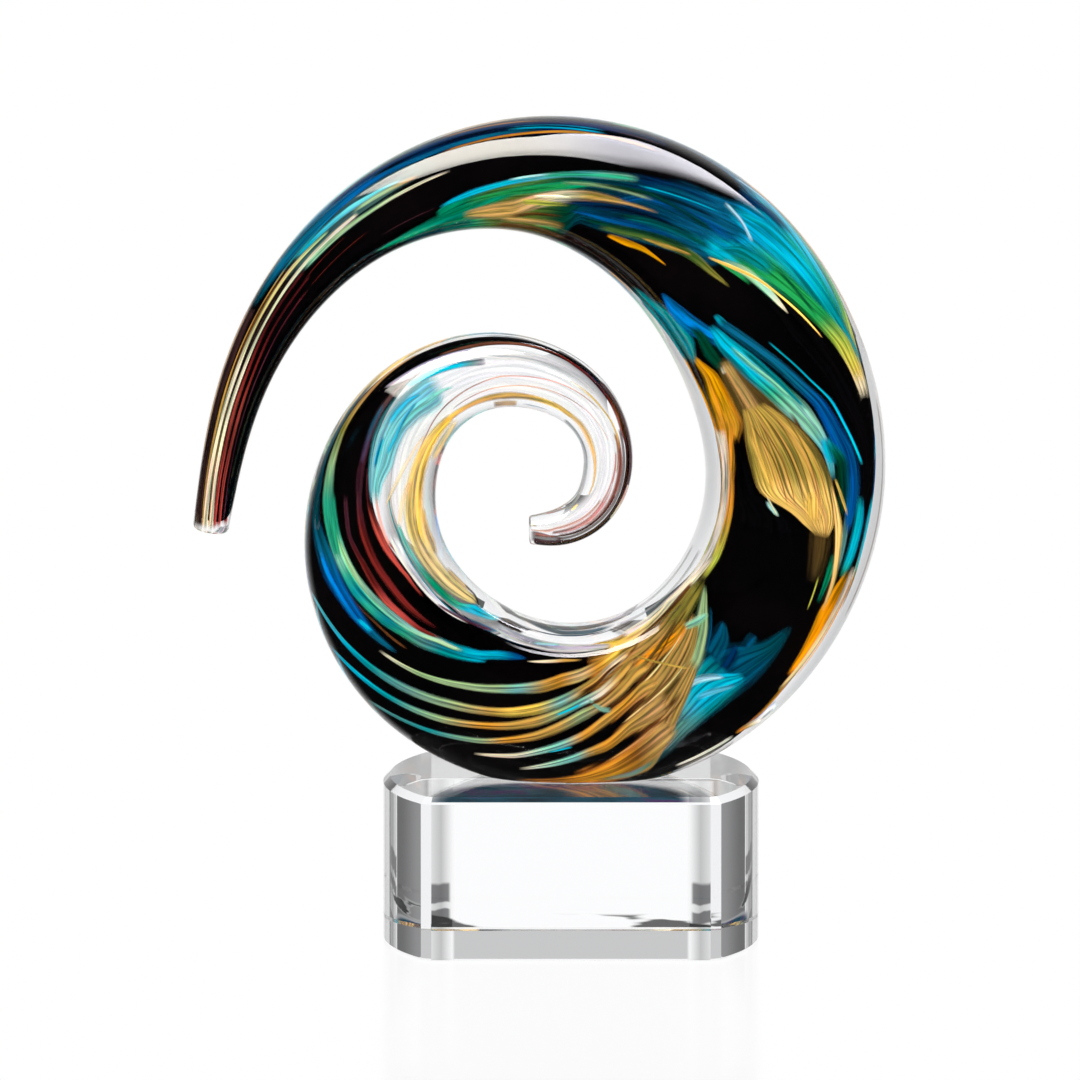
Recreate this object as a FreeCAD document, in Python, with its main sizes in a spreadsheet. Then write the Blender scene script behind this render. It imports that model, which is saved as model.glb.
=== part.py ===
import FreeCAD, Part
import Sketcher
import math
import os

# Glass wave sculpture: a tapering clear glass spiral with coloured glass fused inside it,
# its underside ground flat and bonded to a clear crystal block.
# Millimetres, +Z up, +X to the viewer's right, the front towards -Y.
# The origin is the middle of the block's underside.

# Driving dimensions, kept in the sheet under these names.
SIZES = {
    "block_width": 102.0,
    "block_depth": 64.0,
    "block_height": 45.0,
    "block_top_bevel": 1.8,
    "block_foot_bevel": 0.5,
    "block_corner_facet": 1.7,
    "film_thickness": 0.2,
    "eye_offset": -8.5,
    "eye_height": 82.3,
    "ground_depth": 3.12,
    "wave_reach": 84.0,
    "wave_thickness": 49.6,
    "tip_round": 1.6,
    "curl_tip_round": 0.8,
    "glass_clearance": 0.1,
    "cutter_margin": 10.0,
}

# The wave's centre line turns clockwise about the eye from the free tip on the left.
# Each station: turn in degrees, then its distance from the eye as a share of the reach,
# then its radius as a share of the thickest radius. The eye height is measured from the ground face.
WAVE_SHARES = [
    (-9.5, 1.080, 0.195), (10, 1.014, 0.243), (30, 1.002, 0.310), (60, 1.011, 0.450),
    (90, 0.993, 0.655), (120, 0.922, 0.882), (150, 0.850, 0.989), (180, 0.826, 0.985),
    (210, 0.813, 0.950), (240, 0.798, 0.927), (270, 0.748, 0.911), (300, 0.682, 0.893),
    (330, 0.603, 0.791), (360, 0.526, 0.663), (390, 0.465, 0.531), (420, 0.398, 0.433),
    (450, 0.332, 0.374), (480, 0.286, 0.319), (510, 0.246, 0.276), (540, 0.216, 0.265),
    (570, 0.198, 0.239), (600, 0.181, 0.215), (641, 0.178, 0.155),
]

# The turn at which the wave stands on the block.
SEAT_ANGLE = 270

# How far the coloured glass has been twisted about the centre line at each turn, in degrees.
TWIST_ANGLES = [
    (-9.5, 0), (50, 20), (100, 95), (150, 182), (200, 270), (300, 440), (400, 560), (500, 620), (641, 680),
]

# Radii of the layers as shares of the wave's own radius.
CORE_SHARE = 0.62
RIBBON_SHARE = 0.70

# First and last turn of the hollow that the coloured glass fills, and where black gives way to clear.
COLOUR_START_ANGLE = -5.0
COLOUR_END_ANGLE = 636.0
CORE_CHANGE_ANGLE = 345.0

# Degrees of turn between two sections of a loft, and the share of its width that a ribbon keeps at its ends.
CASING_STEP_ANGLE = 20.0
RIBBON_STEP_ANGLE = 8.0
RIBBON_END_SHARE = 0.25

# The fan's first rib, in the order of the table below, and what each next rib adds.
FAN_COUNT = 6
FAN_FIRST_ANGLES = (200, 330, -395, 8)
FAN_STEP_ANGLES = (6, 5, 10, 0)

# Ribbons of coloured glass on the core. Each one: its piece, first turn, last turn, the angle at which its
# middle lies before any twist (0 at the front, 90 at the outside of the wave), and its width in degrees.
RIBBON_ANGLES = [
    ("cream_ribbon", -5, 150, 22, 48),
    ("aubergine_ribbons", -5, 110, -28, 44),
    ("aubergine_ribbons", 262, 470, -490, 34),
    ("blue_ribbons", 20, 140, 75, 48),
    ("blue_ribbons", 110, 250, -215, 40),
    ("dark_ribbons", -5, 230, -75, 38),
    ("dark_ribbons", 152, 280, -300, 22),
    ("emerald_ribbon", 50, 200, -125, 54),
    ("gold_ribbon", 60, 200, -165, 18),
    ("amber_ribbons", 142, 260, -262, 46),
    ("amber_ribbons", 300, 560, -222, 24),
    ("smoky_feather", 152, 280, -327, 22),
    ("teal_ribbon", 240, 400, -450, 42),
    ("aqua_ribbon", 330, 440, -545, 42),
    ("rose_ribbons", 450, 636, -650, 40),
    ("rose_ribbons", 470, 636, -550, 28),
]


def make_sheet(doc):
    sheet = doc.addObject("Spreadsheet::Sheet", "Sizes")
    for row, (name, value) in enumerate(SIZES.items(), start=1):
        sheet.set("A%d" % row, name)
        sheet.set("B%d" % row, str(value))
        sheet.setAlias("B%d" % row, name)
    doc.recompute()
    return sheet


def origin_plane(body, role):
    for feature in body.Origin.OriginFeatures:
        if feature.Role == role:
            return feature
    raise ValueError("no plane " + role)


def add_chamfer(doc, body, base, edges, size_name, label):
    chamfer = body.newObject("PartDesign::Chamfer", label)
    chamfer.Base = (base, edges)
    chamfer.setExpression("Size", "Sizes." + size_name)
    doc.recompute()
    return chamfer


def upright_edges(shape):
    names = []
    for number, edge in enumerate(shape.Edges, start=1):
        box = edge.BoundBox
        if box.ZLength > box.XLength + box.YLength:
            names.append("Edge%d" % number)
    return names


def level_edges(shape, level):
    names = []
    for number, edge in enumerate(shape.Edges, start=1):
        box = edge.BoundBox
        if box.ZLength < edge.Length / 1000 and abs(box.ZMin - level) < edge.Length / 1000:
            names.append("Edge%d" % number)
    return names


# The clear block: a round disc cut flat at the front and back, with narrow corner facets and bevels.
def make_block(doc, sheet):
    body = doc.addObject("PartDesign::Body", "BaseBlock")
    body.Label = "base_block"
    sketch = body.newObject("Sketcher::SketchObject", "BlockOutline")
    sketch.AttachmentSupport = [(origin_plane(body, "XY_Plane"), "")]
    sketch.MapMode = "FlatFace"
    radius = sheet.block_width / 2
    half_depth = sheet.block_depth / 2
    corner = math.asin(half_depth / radius)
    end_x = radius * math.cos(corner)
    middle = FreeCAD.Vector(0, 0, 0)
    up = FreeCAD.Vector(0, 0, 1)
    circle = Part.Circle(middle, up, radius)
    right = sketch.addGeometry(Part.ArcOfCircle(circle, -corner, corner))
    left = sketch.addGeometry(Part.ArcOfCircle(circle, math.pi - corner, math.pi + corner))
    corners = [
        FreeCAD.Vector(side * end_x, end * half_depth, 0) for side, end in ((1, 1), (-1, 1), (-1, -1), (1, -1))
    ]
    back = sketch.addGeometry(Part.LineSegment(corners[0], corners[1]))
    front = sketch.addGeometry(Part.LineSegment(corners[2], corners[3]))
    sketch.addConstraint(Sketcher.Constraint("Coincident", right, 3, -1, 1))
    sketch.addConstraint(Sketcher.Constraint("Coincident", left, 3, -1, 1))
    sketch.addConstraint(Sketcher.Constraint("Coincident", right, 2, back, 1))
    sketch.addConstraint(Sketcher.Constraint("Coincident", back, 2, left, 1))
    sketch.addConstraint(Sketcher.Constraint("Coincident", left, 2, front, 1))
    sketch.addConstraint(Sketcher.Constraint("Coincident", front, 2, right, 1))
    sketch.addConstraint(Sketcher.Constraint("Equal", right, left))
    sketch.addConstraint(Sketcher.Constraint("Horizontal", back))
    sketch.addConstraint(Sketcher.Constraint("Horizontal", front))
    across = sketch.addConstraint(Sketcher.Constraint("Radius", right, radius))
    sketch.setExpression("Constraints[%d]" % across, "Sizes.block_width / 2")
    behind = sketch.addConstraint(Sketcher.Constraint("DistanceY", -1, 1, back, 1, half_depth))
    sketch.setExpression("Constraints[%d]" % behind, "Sizes.block_depth / 2")
    ahead = sketch.addConstraint(Sketcher.Constraint("DistanceY", front, 1, -1, 1, half_depth))
    sketch.setExpression("Constraints[%d]" % ahead, "Sizes.block_depth / 2")
    doc.recompute()
    pad = body.newObject("PartDesign::Pad", "BlockPad")
    pad.Profile = sketch
    pad.setExpression("Length", "Sizes.block_height")
    doc.recompute()
    facets = add_chamfer(doc, body, pad, upright_edges(pad.Shape), "block_corner_facet", "CornerFacets")
    top = level_edges(facets.Shape, sheet.block_height)
    bevel = add_chamfer(doc, body, facets, top, "block_top_bevel", "TopBevel")
    foot = level_edges(bevel.Shape, 0)
    add_chamfer(doc, body, bevel, foot, "block_foot_bevel", "FootBevel")
    return body


# How much the wave is stretched upright so that it reaches the block below its eye.
def upright_stretch(sheet):
    for turn, reach_share, radius_share in WAVE_SHARES:
        if turn == SEAT_ANGLE:
            radius = radius_share * sheet.wave_thickness / 2
            return (sheet.eye_height + sheet.ground_depth - radius) / (reach_share * sheet.wave_reach)
    raise ValueError("no station at the seat")


# A smooth curve whose X is the place across, Y the height and Z the radius, read at any turn.
def wave_guide(sheet, seat):
    stretch = upright_stretch(sheet)
    points = []
    for turn, reach_share, radius_share in WAVE_SHARES:
        angle = math.radians(180 - turn)
        reach = reach_share * sheet.wave_reach
        across = sheet.eye_offset + reach * math.cos(angle)
        height = seat + sheet.eye_height + reach * stretch * math.sin(angle)
        points.append(FreeCAD.Vector(across, height, radius_share * sheet.wave_thickness / 2))
    guide = Part.BSplineCurve()
    guide.interpolate(Points=points, Parameters=[row[0] for row in WAVE_SHARES])
    return guide


def twist_guide():
    guide = Part.BSplineCurve()
    guide.interpolate(
        Points=[FreeCAD.Vector(row[1], 0, 0) for row in TWIST_ANGLES],
        Parameters=[row[0] for row in TWIST_ANGLES],
    )
    return guide


# The section's place at a turn: local X faces the front, local Y the outside of the wave.
def section_place(guide, turn):
    point, slope = guide.getD1(turn)
    outward = FreeCAD.Vector(-slope.y, 0, slope.x).normalize()
    forward = FreeCAD.Vector(0, -1, 0)
    turned = FreeCAD.Rotation(forward, outward, forward.cross(outward), "XYZ")
    return FreeCAD.Placement(FreeCAD.Vector(point.x, 0, point.y), turned), point.z


def turns_between(first, last, step):
    count = max(2, math.ceil((last - first) / step))
    return [first + (last - first) * number / count for number in range(count + 1)]


def round_wire(guide, turn, share, inset):
    place, radius = section_place(guide, turn)
    circle = Part.Circle(FreeCAD.Vector(0, 0, 0), FreeCAD.Vector(0, 0, 1), radius * share - inset)
    wire = Part.Wire([circle.toShape()])
    wire.Placement = place
    return wire


def round_rod(guide, first, last, share, inset, step):
    wires = [round_wire(guide, turn, share, inset) for turn in turns_between(first, last, step)]
    return Part.makeLoft(wires, True, False)


# One flattened ribbon's section, a piece of a ring between two angles.
def ribbon_wire(guide, twist, turn, lane, width, inset):
    place, radius = section_place(guide, turn)
    middle = math.radians(lane + twist.value(turn).x)
    half = math.radians(width) / 2
    inner = radius * CORE_SHARE
    outer = radius * RIBBON_SHARE - inset

    def spot(distance, angle):
        return place.multVec(FreeCAD.Vector(distance * math.cos(angle), distance * math.sin(angle), 0))

    far = Part.Arc(spot(outer, middle - half), spot(outer, middle), spot(outer, middle + half)).toShape()
    near = Part.Arc(spot(inner, middle + half), spot(inner, middle), spot(inner, middle - half)).toShape()
    out = Part.LineSegment(spot(outer, middle + half), spot(inner, middle + half)).toShape()
    back = Part.LineSegment(spot(inner, middle - half), spot(outer, middle - half)).toShape()
    return Part.Wire([far, out, near, back])


def ribbon(guide, twist, angles, inset):
    first, last, lane, width = angles
    wires = []
    for turn in turns_between(first, last, RIBBON_STEP_ANGLE):
        along = (turn - first) / (last - first)
        fullness = RIBBON_END_SHARE + (1 - RIBBON_END_SHARE) * math.sin(math.pi * along)
        wires.append(ribbon_wire(guide, twist, turn, lane, width * fullness, inset))
    return Part.makeLoft(wires, True, False)


# The turn at which a tip's rounding starts, and the faces that round it off and close it.
def rounded_tip(guide, tip_turn, rounding, side):
    slope = guide.getD1(tip_turn)[1]
    turn = tip_turn - side * rounding / math.hypot(slope.x, slope.y)
    place, radius = section_place(guide, turn)

    def spot(distance, depth):
        return place.multVec(FreeCAD.Vector(distance, 0, side * depth))

    flat_radius = radius - rounding
    middle = spot(flat_radius + rounding * math.sin(math.pi / 4), rounding * math.sin(math.pi / 4))
    bend = Part.Arc(spot(radius, 0), middle, spot(flat_radius, rounding)).toShape()
    axis = place.Rotation.multVec(FreeCAD.Vector(0, 0, side))
    rim = bend.revolve(place.Base, axis, 360).Faces
    circle = Part.Circle(spot(0, rounding), axis, flat_radius)
    return turn, rim + [Part.Face(Part.Wire([circle.toShape()]))]


# The whole wave with both tips rounded and its underside ground flat.
def wave_body(sheet, guide, seat):
    first, first_faces = rounded_tip(guide, WAVE_SHARES[0][0], sheet.tip_round, -1)
    last, last_faces = rounded_tip(guide, WAVE_SHARES[-1][0], sheet.curl_tip_round, 1)
    wires = [round_wire(guide, turn, 1, 0) for turn in turns_between(first, last, CASING_STEP_ANGLE)]
    skin = Part.makeLoft(wires, False, False).Faces
    shell = Part.makeShell(skin + first_faces + last_faces)
    shell.sewShape()
    wave = Part.makeSolid(shell)
    box = wave.BoundBox
    margin = sheet.cutter_margin
    cutter = Part.makeBox(box.XLength + 2 * margin, box.YLength + 2 * margin, seat - box.ZMin + margin)
    cutter.translate(FreeCAD.Vector(box.XMin - margin, box.YMin - margin, box.ZMin - margin))
    return wave.cut(cutter)


def add_feature(doc, name, label, shape):
    feature = doc.addObject("Part::Feature", name)
    feature.Shape = shape
    feature.Placement = FreeCAD.Placement()
    feature.Label = label
    return feature


def make_casing(doc, sheet, guide, seat):
    hollow = round_rod(guide, COLOUR_START_ANGLE, COLOUR_END_ANGLE, RIBBON_SHARE, 0, CASING_STEP_ANGLE)
    return add_feature(doc, "SpiralCasing", "spiral_casing", wave_body(sheet, guide, seat).cut(hollow))


# The bond follows the ground face that it fills.
def make_film(doc, sheet, casing, seat):
    for face in casing.Shape.Faces:
        box = face.BoundBox
        if box.ZLength < sheet.film_thickness / 2 and abs(box.ZMin - seat) < sheet.film_thickness / 2:
            film = face.extrude(FreeCAD.Vector(0, 0, -sheet.film_thickness))
            return add_feature(doc, "BondFilm", "bond_film", film)
    raise ValueError("no ground face")


def make_cores(doc, sheet, guide):
    inset = sheet.glass_clearance
    dark = round_rod(guide, COLOUR_START_ANGLE, CORE_CHANGE_ANGLE, CORE_SHARE, inset, CASING_STEP_ANGLE)
    clear = round_rod(guide, CORE_CHANGE_ANGLE, COLOUR_END_ANGLE, CORE_SHARE, inset, CASING_STEP_ANGLE)
    return [
        add_feature(doc, "DarkCore", "dark_core", dark),
        add_feature(doc, "ClearCore", "clear_core", clear),
    ]


def make_ribbons(doc, sheet, guide):
    twist = twist_guide()
    solids = {}
    for label, *angles in RIBBON_ANGLES:
        solids.setdefault(label, []).append(ribbon(guide, twist, angles, sheet.glass_clearance))
    for rib in range(FAN_COUNT):
        angles = [start + step * rib for start, step in zip(FAN_FIRST_ANGLES, FAN_STEP_ANGLES)]
        solids.setdefault("amber_fan", []).append(ribbon(guide, twist, angles, sheet.glass_clearance))
    made = []
    for label, group in solids.items():
        shape = group[0] if len(group) == 1 else Part.makeCompound(group)
        name = "".join(word.capitalize() for word in label.split("_"))
        made.append(add_feature(doc, name, label, shape))
    return made


def check(doc, pieces):
    for item in doc.Objects:
        if "Invalid" in item.State or "Error" in item.State:
            raise RuntimeError("%s failed: %s" % (item.Label, item.State))
    for piece in pieces:
        if piece.Shape.isNull() or not piece.Shape.isValid():
            raise RuntimeError(piece.Label + " has no valid shape")


def main():
    doc = FreeCAD.newDocument("GlassWave")
    sheet = make_sheet(doc)
    seat = sheet.block_height + sheet.film_thickness
    guide = wave_guide(sheet, seat)
    block = make_block(doc, sheet)
    casing = make_casing(doc, sheet, guide, seat)
    film = make_film(doc, sheet, casing, seat)
    pieces = [block, film, casing] + make_cores(doc, sheet, guide) + make_ribbons(doc, sheet, guide)
    doc.recompute()
    check(doc, pieces)
    os.makedirs("parts", exist_ok=True)
    for piece in pieces:
        piece.Shape.exportStep("parts/%s.step" % piece.Label)
        box = piece.Shape.BoundBox
        print("%-18s %d solid(s) %10.1f mm3  x %.1f..%.1f  y %.1f..%.1f  z %.1f..%.1f" % (
            piece.Label, len(piece.Shape.Solids), piece.Shape.Volume,
            box.XMin, box.XMax, box.YMin, box.YMax, box.ZMin, box.ZMax))


main()
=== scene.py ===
import math

import bpy
import numpy as np
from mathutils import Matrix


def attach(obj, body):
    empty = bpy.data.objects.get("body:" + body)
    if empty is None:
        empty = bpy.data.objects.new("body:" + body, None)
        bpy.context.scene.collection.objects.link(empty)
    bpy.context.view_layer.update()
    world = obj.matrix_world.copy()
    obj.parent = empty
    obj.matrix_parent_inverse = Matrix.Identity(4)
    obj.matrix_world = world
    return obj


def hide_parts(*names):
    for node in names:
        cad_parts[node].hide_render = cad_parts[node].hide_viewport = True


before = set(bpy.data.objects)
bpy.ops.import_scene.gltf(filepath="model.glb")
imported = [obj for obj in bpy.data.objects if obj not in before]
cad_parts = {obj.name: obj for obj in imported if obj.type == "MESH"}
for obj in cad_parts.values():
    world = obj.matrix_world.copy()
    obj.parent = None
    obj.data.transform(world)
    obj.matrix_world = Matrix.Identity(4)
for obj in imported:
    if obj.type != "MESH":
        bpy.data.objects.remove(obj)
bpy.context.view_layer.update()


mm = 0.001
glassBend, crystalBend = 1.5, 1.52   # how strongly the wave and the block bend light
viewTilt = math.radians(11.5)   # how far the photograph looks down

print("materials")


class Value:   # a socket that can be used in sums
    def __init__(self, tree, socket):
        self.tree, self.socket = tree, socket

    def other(self, output):   # another output of the same node
        return Value(self.tree, self.socket.node.outputs[output])

    def math(self, operation, second=None, flip=False):
        inputs = [self] if second is None else [self, second]
        return self.tree.node("ShaderNodeMath", {"operation": operation}, inputs[::-1] if flip else inputs)

    def __add__(self, second):
        return self.math("ADD", second)

    def __sub__(self, second):
        return self.math("SUBTRACT", second)

    def __rsub__(self, first):
        return self.math("SUBTRACT", first, flip=True)

    def __mul__(self, second):
        return self.math("MULTIPLY", second)

    def __truediv__(self, second):
        return self.math("DIVIDE", second)

    def __rtruediv__(self, first):
        return self.math("DIVIDE", first, flip=True)

    def __pow__(self, second):
        return self.math("POWER", second)

    __radd__, __rmul__ = __add__, __mul__


class Nodes:   # the node tree of a material or of the world
    def __init__(self, tree):
        self.tree = tree
        tree.nodes.clear()

    def node(self, kind, settings=None, inputs=(), output=0):
        made = self.tree.nodes.new(kind)
        for key, value in (settings or {}).items():
            if key != "stops":
                setattr(made, key, value)
                continue
            stops = made.color_ramp.elements
            while len(stops) < len(value):
                stops.new(.5)
            for stop, (place, colour) in zip(stops, value):
                stop.position, stop.color = place, tuple(colour) + (1,)
        for key, value in inputs.items() if isinstance(inputs, dict) else enumerate(inputs):
            if isinstance(value, Value):
                self.tree.links.new(value.socket, made.inputs[key])
            else:
                made.inputs[key].default_value = value
        return Value(self, made.outputs[output]) if len(made.outputs) else None

    def smooth(self, value, low, high, start=0.0, end=1.0):
        inputs = [value, low, high, start, end]
        return self.node("ShaderNodeMapRange", {"interpolation_type": "SMOOTHSTEP"}, inputs)

    def between(self, value, low, lowEnd, highEnd, high):   # 1 inside a band with soft edges
        return self.smooth(value, low, lowEnd) * self.smooth(value, high, highEnd)

    def mix(self, factor, first, second, blend="MIX"):
        settings = {"data_type": "RGBA", "blend_type": blend}
        return self.node("ShaderNodeMix", settings, {0: factor, 6: first, 7: second}, output=2)

    def ramp(self, stops, value):
        return self.node("ShaderNodeValToRGB", {"stops": stops}, [value])

    def noise(self, vector, scale=1.0, detail=2.0, rough=.5):
        inputs = {"Vector": vector, "Scale": scale, "Detail": detail, "Roughness": rough}
        return self.node("ShaderNodeTexNoise", {}, inputs)

    def vector(self, *values):
        return self.node("ShaderNodeCombineXYZ", {}, values)

    def colour(self, red, green, blue):
        return self.node("ShaderNodeCombineColor", {}, [red, green, blue])

    def place(self, output):   # the three parts of a texture coordinate
        made = self.node("ShaderNodeSeparateXYZ", {}, [self.node("ShaderNodeTexCoord", output=output)])
        return [made.other(i) for i in range(3)]


fromWorld, fromUv, fromObject = 0, 2, 3   # outputs of the texture coordinate node
white, blackPaint = (1, 1, 1, 1), (0, 0, 0, 1)


def linear(colour):   # screen colour, 0 to 255, in the numbers that Blender works in
    c = np.array(colour, float) / 255
    return np.where(c <= .04045, c / 12.92, ((c + .055) / 1.055) ** 2.4)


def material(name):
    made = bpy.data.materials.new(name)
    made.use_nodes = True
    return made, Nodes(made.node_tree)


def surface(tree, inputs):
    shader = tree.node("ShaderNodeBsdfPrincipled", {}, inputs)
    tree.node("ShaderNodeOutputMaterial", {}, {"Surface": shader})


def clearGlass(name, tint, bend):
    made, tree = material(name)
    surface(tree, {"Base Color": tint, "Roughness": 0.0, "IOR": bend, "Transmission Weight": 1.0})
    return made


streakLook = {
    "along": .04, "across": 1.5, "detail": 4.0, "rough": .62,   # the hairs, per millimetre of the streak
    "dark": .34, "bright": 1.46, "stain": .55, "broad": .32, "thin": .72, "paintedGlow": .42,
}


def streakedGlass(name):   # fine hairs run along each streak and part of it is thinner
    look, (made, tree) = streakLook, material(name)
    tint = tree.node("ShaderNodeAttribute", {"attribute_name": "tint"})
    along, across, _ = tree.place(fromUv)
    stretched = tree.vector(along * look["along"], across * look["across"])
    hair = tree.noise(stretched, 1.0, look["detail"], look["rough"])
    broad = tree.noise(stretched, look["broad"], 1.0)
    shade = tree.smooth(hair, .33, .66, look["dark"], look["bright"])
    varied = tree.mix(1.0, tint, tree.mix(look["stain"], (.5, .5, .5, 1), hair.other("Color")), "MULTIPLY")
    colour = tree.node("ShaderNodeVectorMath", {"operation": "SCALE"}, {0: varied, 3: shade * 2.0})
    seen = tint.other("Alpha") * tree.smooth(broad * .5 + hair * .5, .3, .46, look["thin"], 1.0)
    # Painted light: each streak's colour also goes into emission, so the streaks glow as if light were
    # shining through the coloured glass.
    surface(tree, {"Base Color": colour, "Roughness": .45, "Specular IOR Level": 0.0, "Alpha": seen,
                   "Emission Color": colour, "Emission Strength": look["paintedGlow"]})
    return made


def blackGlass(name):
    made, tree = material(name)
    cloud = tree.noise(tree.node("ShaderNodeTexCoord", output=fromObject), 30.0, 3.0)
    colour = tree.ramp([(.35, linear((4, 4, 6))), (.7, linear((16, 10, 12)))], cloud)
    surface(tree, {"Base Color": colour, "Roughness": .3, "Specular IOR Level": .0})
    return made


def clearBond(name):
    made, tree = material(name)
    cloud = tree.noise(tree.node("ShaderNodeTexCoord", output=fromObject), 120.0)
    rough = tree.smooth(cloud, .3, .7, .12, .2)
    surface(tree, {"Base Color": (.93, .95, .95, 1), "Roughness": rough, "Alpha": .12})
    return made


def wear(piece, look):
    piece.data.materials.clear()
    piece.data.materials.append(look)


def standIn(piece, node, slotName, look):   # the piece takes the place of a CAD node
    wear(piece, look)
    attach(piece, "root")
    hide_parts(node)


wear(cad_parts["base_block"], clearGlass("crystal", (.985, .99, .988, 1), crystalBend))
wear(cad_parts["bond_film"], clearBond("clearBond"))

wave = {
    "eyeX": -8.5, "eyeZ": 127.5, "reach": 84.0, "thickest": 24.8, "seat": 45.22, "beyond": 3,
    "tipRound": 1.6, "curlTipRound": 0.8, "tipRings": (0, .35, .7, 1), "tipBends": (18, 36, 54, 72),
    "sides": 96, "step": 1.4, "crease": 35,
    "stations": [   # turn, clockwise from the eye's left, share of the reach, share of the thickest radius
        (-9.5, 1.080, .195), (10, 1.014, .243), (30, 1.002, .310), (60, 1.011, .450), (90, .993, .655),
        (120, .922, .882), (150, .850, .989), (180, .826, .985), (210, .813, .950), (240, .798, .927),
        (270, .748, .911), (300, .682, .893), (330, .603, .791), (360, .526, .663), (390, .465, .531),
        (420, .398, .433), (450, .332, .374), (480, .286, .319), (510, .246, .276), (540, .216, .265),
        (570, .198, .239), (600, .181, .215), (641, .178, .155),
    ],
}


def smoothCurve(xs, ys):   # natural cubic curve through the points
    n, h = len(xs), np.diff(xs)
    matrix, kinks = np.eye(n), np.zeros((n,) + ys.shape[1:])
    for i in range(1, n - 1):
        matrix[i, i - 1:i + 2] = h[i - 1], 2 * (h[i - 1] + h[i]), h[i]
        kinks[i] = 6 * ((ys[i + 1] - ys[i]) / h[i] - (ys[i] - ys[i - 1]) / h[i - 1])
    bends = np.linalg.solve(matrix, kinks)

    def value(t):
        t = np.clip(np.asarray(t, float), xs[0] - wave["beyond"], xs[-1] + wave["beyond"])
        i = np.clip(np.searchsorted(xs, t) - 1, 0, n - 2)
        w, p, q = h[i][..., None], (xs[i + 1] - t)[..., None], (t - xs[i])[..., None]
        bent = (bends[i] * p ** 3 + bends[i + 1] * q ** 3) / (6 * w)
        return bent + (ys[i] / w - bends[i] * w / 6) * p + (ys[i + 1] / w - bends[i + 1] * w / 6) * q
    return value


turns, reachShare, radiusShare = np.array(wave["stations"], float).T
stationAngle = np.radians(180 - turns)
line = smoothCurve(turns, np.stack([
    wave["eyeX"] + wave["reach"] * reachShare * np.cos(stationAngle),
    wave["eyeZ"] + wave["reach"] * reachShare * np.sin(stationAngle),
    wave["thickest"] * radiusShare], axis=1))


def section(t):   # centre x and z, radius, the tangent's x and z, and millimetres per degree at each turn
    nudge = .05
    here, run = line(t), (line(np.asarray(t) + nudge) - line(np.asarray(t) - nudge))[..., :2] / (2 * nudge)
    speed = np.hypot(run[..., 0], run[..., 1])
    return here[..., 0], here[..., 1], here[..., 2], run[..., 0] / speed, run[..., 1] / speed, speed


# A point of the section at a turn: share of the radius, and angle from the front (0) to the outside (90).
def spot(t, share, angle, along=0.0, offset=0.0):
    x, z, r, tx, tz, _ = section(t)
    out, front = share * r * np.sin(angle) + offset * r, share * r * np.cos(angle)
    return np.stack([x - tz * out + tx * along, -front, z + tx * out + tz * along], axis=-1) * mm


def clearSelection():
    bpy.ops.object.select_all(action="DESELECT")


def shapedGrid(name, rows, columns, shape, closed=False):   # a flat grid whose points go where shape says
    clearSelection()
    bpy.ops.mesh.primitive_grid_add(x_subdivisions=rows, y_subdivisions=columns, size=1)
    piece = bpy.context.object
    mesh = piece.data
    piece.name = mesh.name = name
    flat = np.zeros(len(mesh.vertices) * 3)
    mesh.vertices.foreach_get("co", flat)
    row, column = flat.reshape(-1, 3).T[:2] + .5
    points, extra = shape(row, column)
    mesh.vertices.foreach_set("co", points.ravel())
    if extra is not None:
        uv, tint = extra
        loops = np.zeros(len(mesh.loops), int)
        mesh.loops.foreach_get("vertex_index", loops)
        mesh.uv_layers[0].data.foreach_set("uv", uv[loops].ravel())
        layer = mesh.color_attributes.new(name="tint", type="FLOAT_COLOR", domain="POINT")
        layer.data.foreach_set("color", tint.ravel())
    mesh.update()
    if closed:
        bpy.ops.object.mode_set(mode="EDIT")
        bpy.ops.mesh.select_all(action="SELECT")
        bpy.ops.mesh.remove_doubles(threshold=1e-6)
        bpy.ops.mesh.normals_make_consistent(inside=False)
        bpy.ops.object.mode_set(mode="OBJECT")
    bpy.ops.object.shade_smooth()
    return piece


# A rod along the wave's line from turns, steps along the line and shares of its circle. The circle's radius
# and offset are shares of the wave's radius.
def makeRod(name, profile, sides, circle=lambda t: (1.0, 0.0)):
    profile = np.array(profile)
    last = len(profile) - 1

    def shape(row, column):
        t, along, part = profile[np.rint(row * last).astype(int)].T
        share, offset = circle(t)
        return spot(t, part * share, column * 2 * math.pi, along, offset), None
    return shapedGrid(name, last, sides, shape, closed=True)


def roundedTip(turn, rounding, side):   # where the rounding starts, and its rings from the middle out
    edge = turn - side * rounding / float(section(turn)[5])
    radius = float(section(edge)[2])
    rings = [(edge, side * rounding, share * (radius - rounding) / radius) for share in wave["tipRings"]]
    for bend in wave["tipBends"]:
        a = math.radians(bend)
        part = (radius - rounding + rounding * math.sin(a)) / radius
        rings.append((edge, side * rounding * math.cos(a), part))
    return edge, rings


print("casing")
start, startTip = roundedTip(turns[0], wave["tipRound"], -1)
end, endTip = roundedTip(turns[-1], wave["curlTipRound"], 1)
body = [(t, 0.0, 1.0) for t in np.linspace(start, end, round((end - start) / wave["step"]) + 1)]
casingSkin = makeRod("casingSkin", startTip + body + endTip[::-1], wave["sides"])
seat = (0, 0, wave["seat"] * mm)   # ground flat where the block carries it
bpy.ops.object.mode_set(mode="EDIT")
bpy.ops.mesh.select_all(action="SELECT")
bpy.ops.mesh.bisect(plane_co=seat, plane_no=(0, 0, -1), clear_outer=True, use_fill=True)
bpy.ops.object.mode_set(mode="OBJECT")
bpy.ops.object.shade_smooth_by_angle(angle=math.radians(wave["crease"]))
standIn(casingSkin, "spiral_casing", "clear_glass", clearGlass("waveGlass", (.985, .99, .99, 1), glassBend))

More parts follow.
